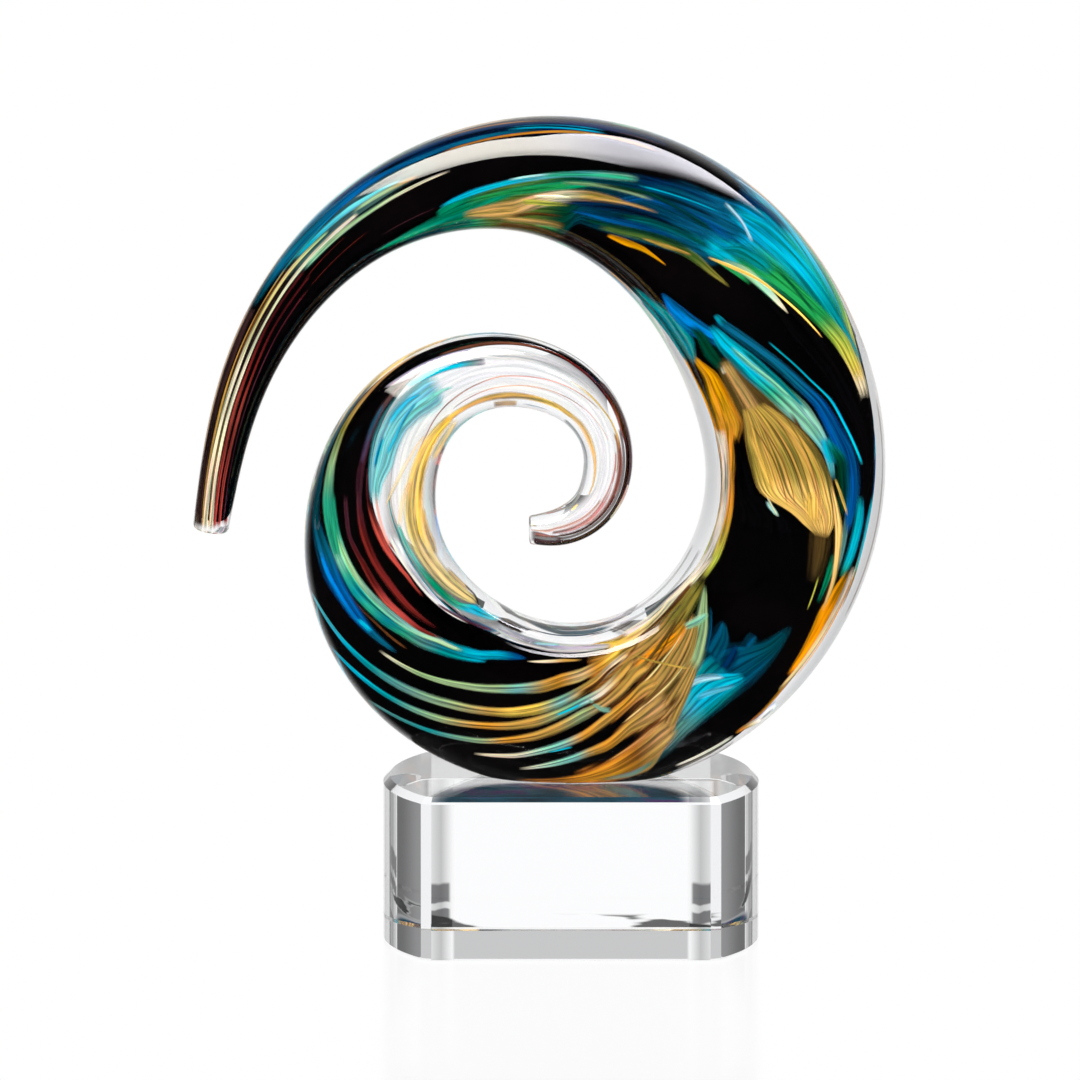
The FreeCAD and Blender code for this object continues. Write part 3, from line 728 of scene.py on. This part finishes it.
smokyFeather = {"layer": .76, "node": "smoky_feather", "slot": "smoky_glass", "strokes": [
    streak("slate", (38, .14, .9), (45, .07, .92), (55, .07, .9), (62, .2, .84), (68, .3, .7),
           (73, .36, .6), fade=5, soft=.1, strength=.8, columns=14),
    streak("emerald", (69, -.95, -.5), (72, -.96, -.36), (76, -.97, -.24), (80, -.97, -.17, "green olive"),
           (85, -.97, -.08), (90, -.97, 0), (95, -.95, .1, "dark green"), (97.5, -.95, .18),
           (99, -.62, .22, "dark teal"), (105, -.58, .35), (110, -.52, .45, "navy"),
           (115, -.4, .6, "smoke"), (120, -.28, .65, "petrol"), (125, -.15, .76), (130, -.02, .76),
           fade=1.2, soft=.06, columns=24),
    streak("petrol", (123, 0, .8), (126, 0, .86, "cyan"), (130, .07, .9), (135, .14, .9, "sea green"),
           (140, .36, .9), (145, .46, .9, "green"), (150, .58, .9), (155, .68, .9, "yellow green"),
           (160, .75, .9, "pale gold"), (166, .8, .9, "cream"), soft=.08, columns=16),
    streak("dark teal", (211, .46, .52), (217, .3, .57), (222, 0, .6, "smoke"), (226, -.12, .6),
           (230, -.1, .58, "teal"), (235, .05, .6), (240, .2, .66, "grey teal"),
           (246, .42, .82, "dark teal"), (251, .7, .92, "grey teal"), soft=.2, columns=16),
    streak("smoke", (216.6, .14, .26), (218.5, .12, .3), (220.5, .16, .26), fade=1, soft=.35),
    streak("smoke", (218.5, -.21, -.14), (221, -.22, .06), (224, -.2, .14), (227, -.16, .2), fade=1,
           soft=.35),
    streak("navy", (221, .06, .2), (224, .08, .3), (227, .12, .34), fade=1, soft=.4),
    streak("cyan", (224.5, .38, .5), (228, .16, .5), (231, .06, .5), (235, .1, .52),
           (240, .32, .54, "grey teal"), fade=1.5, soft=.3),
    streak("pale cyan", (227.6, .26, .34), (229.5, .14, .26), (233, .06, .18), (237.5, .1, .18), fade=1,
           soft=.4),
    streak("light cyan", (227, .42, .48), (231, .3, .4), (235, .26, .34), fade=1.5, soft=.4),
    streak("sage", (213.5, -.63, -.58), (218, -.56, -.42), (222, -.48, -.24), (226, -.4, -.08),
           (230, -.3, .06), (234, -.2, .1), (239, -.08, .2, "tan"), strength=.95, columns=12),
    streak("petrol", (217.5, -.42, -.38), (222, -.26, -.2), (227, -.1, -.04), fade=1.5, strength=.9),
    streak("umber", (190, .2, .5), (195, .26, .54), (202, .38, .56), soft=.35, strength=.7),
]}
paintPiece("smokyFeather", smokyFeather)

amberFan = {"layer": .81, "node": "amber_fan", "slot": "amber_glass", "strokes": [
    streak("olive", (212, -.67, -.63), (215, -.73, -.58), (220, -.76, -.52), (226, -.74, -.46),
           (232, -.7, -.4), fade=5, soft=.15, strength=.8, columns=14),
    streak("mint", (219.5, -.4, -.34), (222.5, -.46, -.32), (227, -.5, -.4), fade=1.2, soft=.4),
    streak("amber", (225, -.54, -.44), (230, -.54, -.34), (238, -.5, -.3), (245, -.4, -.26), soft=.35),
    streak("orange", (229, -.47, -.41), (235, -.47, -.38), (241, -.44, -.38), soft=.4),
    streak("umber", (226, -.62, -.57), (234, -.5, -.44), (242, -.36, -.3), (250, -.22, -.17), soft=.3),
    streak("umber", (234, -.06, 0), (240, .04, .14), (246, .18, .26), (252, .34, .4), soft=.3),
    streak("brown", (237, .12, .18), (243, .26, .36), (249, .42, .52), (254, .6, .66), soft=.3),
    streak("pale gold", (228, -.42, -.4), (236, -.3, -.27), (244, -.14, -.11), (252, .06, .09), soft=.3),
    streak("pale gold", (232, -.12, -.1), (239, 0, .03), (246, .12, .15), (252, .26, .29), soft=.3),
    streak("tan", (238, .2, .23), (244, .36, .4), (250, .52, .56), (256, .68, .71), soft=.3),
    streak("brown", (215, -.76, -.72), (222, -.77, -.7), (232, -.72, -.67), (241, -.66, -.62), fade=2),
    streak("brown", (222, -.6, -.57), (230, -.52, -.49), (238, -.34, -.31), (246, -.16, -.1), strength=.8),
    streak("brown", (228, -.28, -.26), (235, -.12, -.09), (241, 0, .03), (247, .12, .17), strength=.7),
    streak("brown", (236, .18, .21), (242, .34, .37), (248, .4, .45), strength=.7),
    streak("brown", (240, -.62, -.58), (246, -.5, -.46), (252, -.42, -.38), strength=.8),
    streak("tan", (241, .36, .6), (245, .4, .72), (250, .52, .86, "deep amber"), (255, .67, .93, "amber"),
           (260, .8, .93), (265, .86, .94, "deep amber"), (272, .93, .96), soft=.2),
    streak("green olive", (246, .74, .8), (251, .84, .92, "grey teal"), (258, .88, .92, "olive"), soft=.3,
           strength=.8),
    streak("tan", (240, .04, .28), (245, .12, .36), (250, .24, .4, "gold"), (255, .42, .57, "amber"),
           (259, .5, .62, "gold"), (261, .55, .66, "pale teal"), (265, .64, .73, "mint"),
           (272, .8, .83, "cream"), soft=.2),
    streak("gold", (240, -.17, -.02), (245, -.15, 0), (250, 0, .13, "amber"), (255, .12, .28, "gold"),
           (260, .3, .43, "amber"), (264, .4, .52, "pale teal"), (268, .5, .6, "mint"),
           (273, .63, .7, "cream"), (281, .77, .8), soft=.2),
    streak("gold", (240, -.38, -.24), (245, -.34, -.19), (250, -.2, -.04), (255, -.05, .07, "tan"),
           (260, .03, .2, "sage"), (265, .18, .34, "gold"), (270, .33, .46), (276, .47, .56, "amber"),
           (280, .56, .64, "sage"), (290, .73, .79, "teal"), (304, .95, .98, "grey teal"), soft=.2),
    streak("gold", (244, -.5, -.38), (250, -.35, -.2), (255, -.2, -.07, "cream"),
           (260, -.1, .02, "pale teal"), (265, .02, .16, "sage"), (270, .14, .3, "gold"), (276, .28, .4),
           (281, .37, .47, "amber"), (290, .53, .63, "sage"), (300, .7, .77, "teal"),
           (308, .82, .88, "cyan"), (317, .97, .99), soft=.2),
    streak("gold", (244, -.58, -.5), (250, -.5, -.38, "cream"), (255, -.37, -.23, "gold"), (260, -.25, -.1),
           (265, -.13, .03, "pale teal"), (270, -.02, .14, "yellow"), (276, .1, .24),
           (281, .18, .3, "gold"), (290, .3, .43, "sage"), (300, .48, .6, "grey teal"),
           (308, .63, .72, "teal"), (316, .77, .83, "cyan"), (329, .97, .99, "light cyan"), soft=.2),
    streak("yellow", (246, -.64, -.55), (250, -.6, -.48), (255, -.52, -.38, "amber"),
           (260, -.45, -.28, "pale gold"), (265, -.4, -.22, "amber"), (270, -.3, -.12, "gold"),
           (276, -.2, -.06, "pale teal"), (281, -.12, .01, "sage"), (290, .05, .15), (300, .26, .33),
           (310, .45, .49, "cream"), soft=.2),
    streak("cyan", (262, .47, .5), (267, .56, .58), fade=1),
    streak("cyan", (260, -.04, 0), (266, .1, .14), fade=1.2),
    streak("gold", (259, -.56, -.54), (265, -.57, -.52), (270, -.54, -.49, "cream"), (276, -.48, -.46),
           strength=.9),
    streak("yellow", (232, -.03, .01), (237, -.26, -.22), (244, -.51, -.47), soft=.35, strength=.9),
    streak("mint", (253, .06, .14), (256, 0, .1), (258.5, -.12, -.08), fade=1, soft=.4, strength=.8),
]}
paintPiece("amberFan", amberFan)

tealBands = {"layer": .83, "node": "teal_ribbon", "slot": "teal_glass", "strokes": [
    streak("teal", (118.5, -.91, -.89), (125, -.92, -.82), (130, -.92, -.72), (140, -.88, -.68),
           (146, -.84, -.79), soft=.3),
    streak("cyan", (287, -.4, -.27), (295, -.33, -.12, "teal"), (300, -.27, -.03),
           (305, -.2, .08, "grey teal"), (310, -.1, .15, "sea green"), (315, 0, .27, "teal"),
           (320, .1, .37, "sea green"), (325, .2, .48, "teal"), (330, .3, .54, "sea green"),
           (335, .38, .62, "mint"), (342, .48, .66, "sea green"), (352, .6, .74), soft=.15, columns=12),
    streak("pale green", (294, -.3, -.24), (302, -.22, -.14), (310, -.08, .04, "mint"), (320, .1, .22),
           (330, .3, .4, "pale green"), (340, .48, .54), soft=.35, strength=.95),
    streak("teal", (304, -.58, -.56), (325, -.51, -.49), (340, -.41, -.38), (350, -.29, -.27),
           (356, -.25, -.23)),
    streak("grey teal", (186, .58, .64), (192, .6, .68), (198, .64, .7), strength=.8),
    streak("brown", (306, .16, .2), (316, .3, .34), (326, .5, .54), (340, .64, .68), strength=.8),
    # painted reflection: the dark lens where the block below shows in the wave's inner rim
    streak("dark teal", (246, -.91, -.88), (256, -.91, -.84), (266, -.91, -.84), (280, -.96, -.92), fade=5,
           strength=.9),
    streak("grey", (205, -.97, -.94), (230, -.97, -.94), (250, -.98, -.94), strength=.7),
    streak("grey", (205, -.88, -.84), (225, -.88, -.85), (246, -.9, -.86), strength=.6),
]}
paintPiece("tealBands", tealBands)

aquaPatch = {"layer": .86, "node": "aqua_ribbon", "slot": "aqua_glass", "strokes": [
    streak("aqua", (350, -.12, .03), (358, -.14, .14), (365, -.25, .24), (372, -.24, .34), (380, -.24, .42),
           (388, -.33, .46), (394, -.42, .48), (399, -.45, .5), (404, -.2, .3), fade=5, soft=.18,
           strength=.9, columns=14),
    streak("cyan", (362, .04, .12), (368, .06, .16), (374, .1, .2), soft=.35),
    streak("cyan", (368, -.1, 0), (376, -.12, 0), (384, -.06, .06), (392, 0, .08), soft=.4, strength=.8),
    streak("cyan", (378, .1, .26), (384, .1, .3), (390, .1, .26), (395, .06, .16), soft=.4, strength=.8),
    streak("cyan", (392, .38, .48), (400, .28, .48), (407, .24, .44), (413, .2, .4),
           (418, .16, .36, "grey teal"), (422, .13, .36, "grey"), (424, .15, .34), fade=1.5, soft=.2),
    streak("pale teal", (397, -.16, -.02), (403, -.16, -.04), (408, -.18, -.12), soft=.35, strength=.8),
    # painted highlight: the overhead softbox's lilac reflection on the top of the curl
    streak("highlight lilac", (386.5, .7, .73), (390, .6, .71), (395, .5, .69), (403, .5, .67), (412, .54, .64),
           (420, .58, .63), soft=.15, strength=.75),
    streak("pale grey", (412, .4, .6), (430, .2, .62), (450, .28, .64), (470, .34, .64), (482, .38, .6),
           soft=.3, strength=.6, columns=10),
    streak("petrol", (444, -.92, -.86), (452, -.92, -.86), (463, -.9, -.86), fade=4, soft=.4, strength=.5),
]}
paintPiece("aquaPatch", aquaPatch)

roseStripes = {"layer": .88, "node": "rose_ribbons", "slot": "rose_glass", "strokes": [
    streak("red brown", (407, .66, .69), (420, .63, .73), (430, .66, .77), (445, .74, .81),
           (455, .76, .82, "dark red"), (465, .68, .79), (480, .67, .8, "plum"),
           (490, .66, .78, "dark red"), (500, .64, .78, "red brown"), (508, .62, .76, "dark red"),
           (516, .7, .82, "plum"), (535, .7, .84, "wine"), (550, .72, .84, "plum"), strength=.9),
    streak("mauve brown", (478, .76, .94), (490, .78, .97), (505, .8, .98), (520, .84, .98),
           (542, .84, .98), (560, .78, .9), (580, .76, .88), (600, .74, .88), (612, .68, .84),
           (625, .64, .92), (637, .5, .94), soft=.15, strength=.95),
    streak("red brown", (505, .42, .5), (515, .42, .54), (530, .42, .6), (545, .42, .62), (560, .44, .62),
           (575, .48, .6, "brown"), (592, .48, .6), (605, .44, .56), (620, .38, .5), strength=.9),
    streak("gold", (507, .34, .42), (515, .36, .46, "tan"), (526, .36, .44), (536, .34, .4), soft=.3,
           strength=.8),
    streak("mauve brown", (506, .56, .68), (535, .56, .72), (560, .58, .76), (600, .56, .74),
           (615, .5, .72), soft=.2, strength=.85),
    streak("red brown", (508, .38, .54), (530, .36, .6), (560, .38, .6), (590, .36, .56), (612, .3, .5),
           strength=.75),
    streak("mauve brown", (608, .56, .84), (617, .42, .86), (626, .2, .84), (634, .06, .8), (640, .04, .8),
           fade=3, soft=.12, strength=.8),
    streak("wine", (552, .52, .6), (566, .52, .6), (590, .5, .58), (608, .44, .5), strength=.8),
    streak("pink", (520, .28, .36), (545, .2, .34), (560, .12, .42), (580, .14, .46), (600, .12, .44),
           (618, .14, .34), soft=.35, strength=.9),
    streak("salmon", (560, .06, .16), (580, 0, .16), (600, -.06, .14), (612, -.06, .12), (622, 0, .24),
           (632, 0, .12), (640, -.05, .05), soft=.3, strength=.85),
    streak("white", (543, .26, .33), (562, .24, .29), strength=.9),
    streak("white", (584, .4, .5), (600, .34, .44), (620, .26, .36), soft=.4, strength=.85),
    streak("pink", (598, -.95, -.8), (612, -.95, -.8), (622, -.94, -.84), soft=.4, strength=.7),
    streak("cream", (542, .9, .98), (550, .88, .98, "salmon"), (560, .88, .98, "cream"), (569, .9, .97),
           fade=1, strength=.95),
    streak("red brown", (614, .4, .56), (625, .3, .5, "pink"), (636, .1, .5, "red brown"), soft=.3,
           strength=.9),
    streak("peach", (632, -.4, -.1), (638, -.5, -.2, "yellow"), (640.5, -.5, -.2, "gold"), soft=.4,
           strength=.7),
    streak("grey", (478, -.98, -.84), (500, -.98, -.86), (530, -.98, -.82), (560, -.97, -.76),
           (580, -.92, -.68), (590, -.78, -.68), (602, -.9, -.8), (618, -.96, -.9), strength=.75),
]}
paintPiece("roseStripes", roseStripes)

darkShadows = {"layer": .845, "node": "dark_ribbons", "slot": "black_glass", "strokes": [
    streak("dark brown", (14, .26, .3), (20, .26, .3), (30, .3, .35), (42, .34, .39)),
    streak("brown", (12, .52, .56), (20, .51, .57), (42, .55, .59)),
    streak("black", (-8.6, -.38, -.33), (-4, -.27, -.2), (0, -.2, -.13), (10, -.2, -.12), (20, -.18, -.07),
           fade=.5),
    streak("black", (52, .21, .24), (60, .22, .26), (70, .28, .32), (73, .26, .29)),
    streak("black", (133, .1, .13), (140, .2, .36), (150, .26, .57), (160, .46, .7), (165, .5, .78),
           (170, .6, .86), (175, .74, .86), (184, .74, .82), (189, .74, .77), soft=.12),
    streak("black", (167, -.65, -.63), (170, -.67, -.6), (180, -.68, -.48), (185, -.67, -.38),
           (190, -.64, .1), (196, -.62, .2), soft=.12, columns=12),
    streak("brown", (166, .955, .975), (205, .955, .975), strength=.7),
    streak("dark brown", (299.5, -.8, -.77), (301.5, -.88, -.84), (305, -.92, -.89), (311, -.92, -.9),
           fade=.8, strength=.9),
    streak("black", (280, -.81, -.77), (285, -.84, -.77), (291, -.82, -.78), fade=1, soft=.15,
           strength=.95),
    streak("black", (246.5, .38, .41), (250, .42, .52), (255, .58, .67), (260, .67, .8), soft=.15),
    streak("brown", (243, 0, .04), (247, .05, .12), (250, .13, .23, "black"), (255, .29, .41),
           (260, .44, .54), soft=.15),
    streak("brown", (244, -.18, -.15), (250, -.04, 0), (255, .07, .12, "black"), (260, .2, .3), soft=.15),
    streak("brown", (246, -.36, -.33), (250, -.2, -.19), (255, -.07, -.04), (260, .02, .04, "black"),
           soft=.2),
    streak("brown", (246, -.5, -.48), (252, -.4, -.35), (256, -.27, -.2), (261, -.16, -.09, "black"),
           soft=.2),
]}
paintPiece("darkShadows", darkShadows)

milkyVeil = {"layer": .60, "mirrorBefore": 0, "node": "clear_core", "slot": "clear_glass", "strokes": [
    streak("white", (325, -.7, -.5), (345, -.8, -.2), (370, -.8, .1), (400, -.8, .4), (440, -.8, .6),
           (480, -.7, .6), (520, -.6, .5), (600, -.6, .5), (632, -.5, .4), fade=12, soft=.3, strength=.3,
           columns=10),
]}
paintPiece("milkyVeil", milkyVeil)

print("stage")
clearSelection()
bpy.ops.mesh.primitive_plane_add(size=6, location=(0, 0, -.0002))
floor = bpy.context.object
floor.name = "floor"
floorLook, tree = material("paleFloor")
light = tree.node("ShaderNodeEmission", {}, {"Color": white, "Strength": 1.0})
shine = tree.node("ShaderNodeBsdfGlossy", {}, {"Color": white, "Roughness": .12})
both = tree.node("ShaderNodeMixShader", {}, [.08, light, shine])
tree.node("ShaderNodeOutputMaterial", {}, {"Surface": both})
wear(floor, floorLook)
floor.visible_glossy = floor.visible_transmission = False


def makeCard(name, place, seenBy):   # place gives each corner, and only one kind of ray meets the card
    bpy.ops.mesh.primitive_plane_add(size=1)
    made = bpy.context.object
    made.name = name
    for corner in made.data.vertices:
        corner.co = place(corner.co.x + .5, corner.co.y + .5)
    for kind in ("camera", "glossy", "diffuse", "shadow", "transmission"):
        setattr(made, "visible_" + kind, kind == seenBy)
    look, tree = material(name + "Look")
    wear(made, look)
    return tree, tree.place(fromObject)


def glowing(tree, colour, **more):
    surface(tree, {"Base Color": blackPaint, "Specular IOR Level": 0.0, "Emission Color": colour,
                   "Emission Strength": 1.0, **more})


cards = {   # beside the block, in metres: the crystal's rounded ends show them
    "apart": .10, "near": .085, "far": .60, "low": -.03, "slope": .2, "high": .05, "lit": .42,
    "levels": (.10, .95),
}
for name, side in (("cardLeft", -1), ("cardRight", 1)):
    def wedge(a, b):   # the low edge falls with the distance
        y = cards["near"] + a * (cards["far"] - cards["near"])
        return side * cards["apart"], y, cards["high"] * b + (cards["low"] - cards["slope"] * y) * (1 - b)

    tree, (x, y, z) = makeCard(name, wedge, "transmission")
    level = tree.smooth(y, cards["near"], cards["lit"], *cards["levels"])
    glowing(tree, tree.colour(level, level, level * 1.02))

# A clear screen behind the block, with grey borders and painted reflections: two dark bands and a few dark
# marks low down that stand for what the lower edge shows, and a dark teal patch that stands for the wave's
# reflection in the block's top face.
screen = {
    "wide": .112, "tall": .06, "low": -.014, "back": .07, "borderFrom": .03, "borderShare": 33.3,
    "borders": [(.0, 1.0), (.08, 1.0), (.18, .56), (.25, .72), (.285, .85), (.31, .16), (.35, .5), (.6, .26),
                (1.0, .5)],
    "bands": [(-.0012, -.0006, .004, .0052), (-.0062, -.0056, -.003, -.0024)], "bandDark": .78,
    "strip": (-.0088, -.0082, -.0045, -.0035), "stripSeen": .9,
    "reflectionPatch": (-.002, 25.6, -.0135, 180), "reflectionPatchTop": (-.0085, -.0095),   # middle and stretch, across and up
    "reflectionTones": [(.3, (0, 24, 36)), (.5, (0, 70, 90)), (.62, (70, 30, 90)), (.75, (0, 110, 100))],
}
tree, (x, y, z) = makeCard("backScreen", lambda a, b: (
    (a - .5) * screen["wide"], screen["back"], b * screen["tall"] + screen["low"]), "transmission")
sideways = x.math("ABSOLUTE")
greys = tree.ramp([(place, (level, level, level * 1.01)) for place, level in screen["borders"]],
                  (sideways - screen["borderFrom"]) * screen["borderShare"])
height = z + tree.noise(tree.vector(x * 160, .1, z * 60)) * .004 - .002
# painted reflection: two dark bands low down at the block's ends
bands = [tree.between(height, *band) for band in screen["bands"]]
darker = (bands[0] + bands[1]) * screen["bandDark"] * tree.smooth(sideways, .0326, .0336)
greys = tree.mix(darker, greys, (.05, .05, .055, 1))
# painted reflection: a strip of dark marks low down
marks = tree.noise(tree.vector(x * 42, .3, z * 260 + .7))
strip = tree.smooth(marks, .55, .48) * tree.between(z, *screen["strip"])
# painted reflection: a dark teal patch for the wave seen in the block's top face
middle, acrossStretch, bottom, upStretch = screen["reflectionPatch"]
oval = ((x - middle) * acrossStretch) ** 2.0 + ((z - bottom) * upStretch) ** 2.0
reflectionPatch = tree.smooth(oval.math("SQRT"), 1.05, .8) * tree.smooth(z, *screen["reflectionPatchTop"])
reflectionTones = tree.ramp([(place, linear(tone)) for place, tone in screen["reflectionTones"]],
                  tree.noise(tree.vector(x * 60, .7, z * 420), 1.0, 3.0))
looks = tree.mix(reflectionPatch, tree.mix(strip, greys, (.03, .03, .03, 1)), reflectionTones)
shown = tree.smooth(sideways, .0315, .0325).math("MAXIMUM", strip * screen["stripSeen"])
glowing(tree, looks, Alpha=shown.math("MAXIMUM", reflectionPatch))

# A flag keeps the softbox off the wave's bottom, which lies in the shade of the curl in the photograph.
flag = {"left": -.075, "wide": .12, "front": -.06, "deep": .042, "up": .10}
tree, (x, y, z) = makeCard("flag", lambda a, b: (
    a * flag["wide"] + flag["left"], b * flag["deep"] + flag["front"], flag["up"]), "glossy")
surface(tree, {"Base Color": blackPaint, "Specular IOR Level": 0.0})

world = bpy.data.worlds.new("studio")
bpy.context.scene.world = world
world.use_nodes = True
sky = Nodes(world.node_tree)
rays = sky.node("ShaderNodeLightPath")
passes, scattered, mirrored = (
    rays.other(kind + " Depth").math("GREATER_THAN", .5) for kind in ("Transmission", "Diffuse", "Glossy"))
dx, dy, dz = sky.place(fromWorld)

# The softbox overhead: a window in the directions that look up, with a slanting left end and a lower right
# end. Its edges are straight lines, given as slope and height.
softbox = {
    "low": (.53, -.72), "lowRight": (1.3, -.89), "high": (.22, .6), "highLeft": (1.4, .2), "leastHigh": .06,
    "slant": .195, "left": -1.067, "right": (1.6, 1.35), "soft": .06, "highSoft": .05, "lowSoft": (.07, .3),
    "levels": (9, 19), "dimMiddle": 6, "dimRight": 4, "dimLow": 6, "level": .012,
}
up = dz.math("MAXIMUM", .05)
across, back = dx / up, dy / up
low, lowRight, high, highLeft = (
    across * softbox[edge][0] + softbox[edge][1] for edge in ("low", "lowRight", "high", "highLeft"))
aboveLow = back - low.math("MAXIMUM", lowRight)
belowHigh = highLeft.math("MAXIMUM", softbox["leastHigh"]).math("MINIMUM", high) - back
window = (sky.smooth(across + back * softbox["slant"] - softbox["left"], 0, softbox["soft"])
          * sky.smooth(aboveLow, 0, sky.smooth(across, .1, .5, *softbox["lowSoft"]))
          * sky.smooth(belowHigh, 0, softbox["highSoft"])
          * sky.smooth(across, *softbox["right"]) * sky.smooth(dz, .1, .2))
bright = (sky.smooth(across, -1.1, -.5, *softbox["levels"])
          - sky.smooth(across, -.1, .3, 0, softbox["dimMiddle"])
          - sky.smooth(across, .7, 1.3, 0, softbox["dimRight"])
          - sky.smooth(aboveLow, .4, .15, 0, softbox["dimLow"]))
lamp, warm = window * bright, sky.smooth(across, .3, -.3)
backLight = sky.smooth(dy, .55, 1.0, softbox["level"], 1.0)
glossColour = sky.colour(backLight + lamp * (warm * .04 + .98), backLight + lamp * (warm * .01 + .96),
                         backLight + lamp * (1.04 - warm * .16))

# The paper round the object, as the glass shows it: darker at the sides, in front and below.
paper = {"level": 1.05, "sides": .4, "front": .5, "down": .97, "up": .42, "blue": 1.012}
sides, front = sky.smooth(dx.math("ABSOLUTE"), .45, .98), sky.smooth(dy, .1, -.5)
down = sky.smooth(dz, -.25, -.4) * mirrored
upward = mirrored * sky.between(dz, .12, .16, .25, .3) * sky.smooth(dy, .8, .9)
passLevel = ((paper["level"] - sides * paper["sides"] - front * paper["front"])
             * (1 - down * paper["down"]) * (1 - upward * paper["up"]))
passColour = sky.colour(passLevel, passLevel, passLevel * paper["blue"])
plain = (paper["level"],) * 3 + (1,)
seen = sky.mix(scattered, sky.mix(passes, glossColour, passColour), plain)
seen = sky.mix(rays.other("Is Camera Ray"), seen, plain)
sky.node("ShaderNodeOutputWorld", {}, {"Surface": sky.node("ShaderNodeBackground", {}, [seen, 1.0])})

view = {"distance": 14.0, "target": (-.00842, 0, .110), "width": .2933, "sensor": 36, "clip": (1, 60)}
away, (aimX, aimY, aimZ) = view["distance"], view["target"]
clearSelection()
bpy.ops.object.camera_add(
    location=(aimX, aimY - away * math.cos(viewTilt), aimZ + away * math.sin(viewTilt)),
    rotation=(math.pi / 2 - viewTilt, 0, 0))
camera = bpy.context.object
camera.name = "camera"
camera.data.sensor_width = view["sensor"]
camera.data.lens = view["sensor"] * away / view["width"]
camera.data.clip_start, camera.data.clip_end = view["clip"]
bpy.context.scene.camera = camera
bpy.context.scene.view_settings.view_transform = "Standard"
bpy.context.scene.view_settings.look = "None"

print("done")
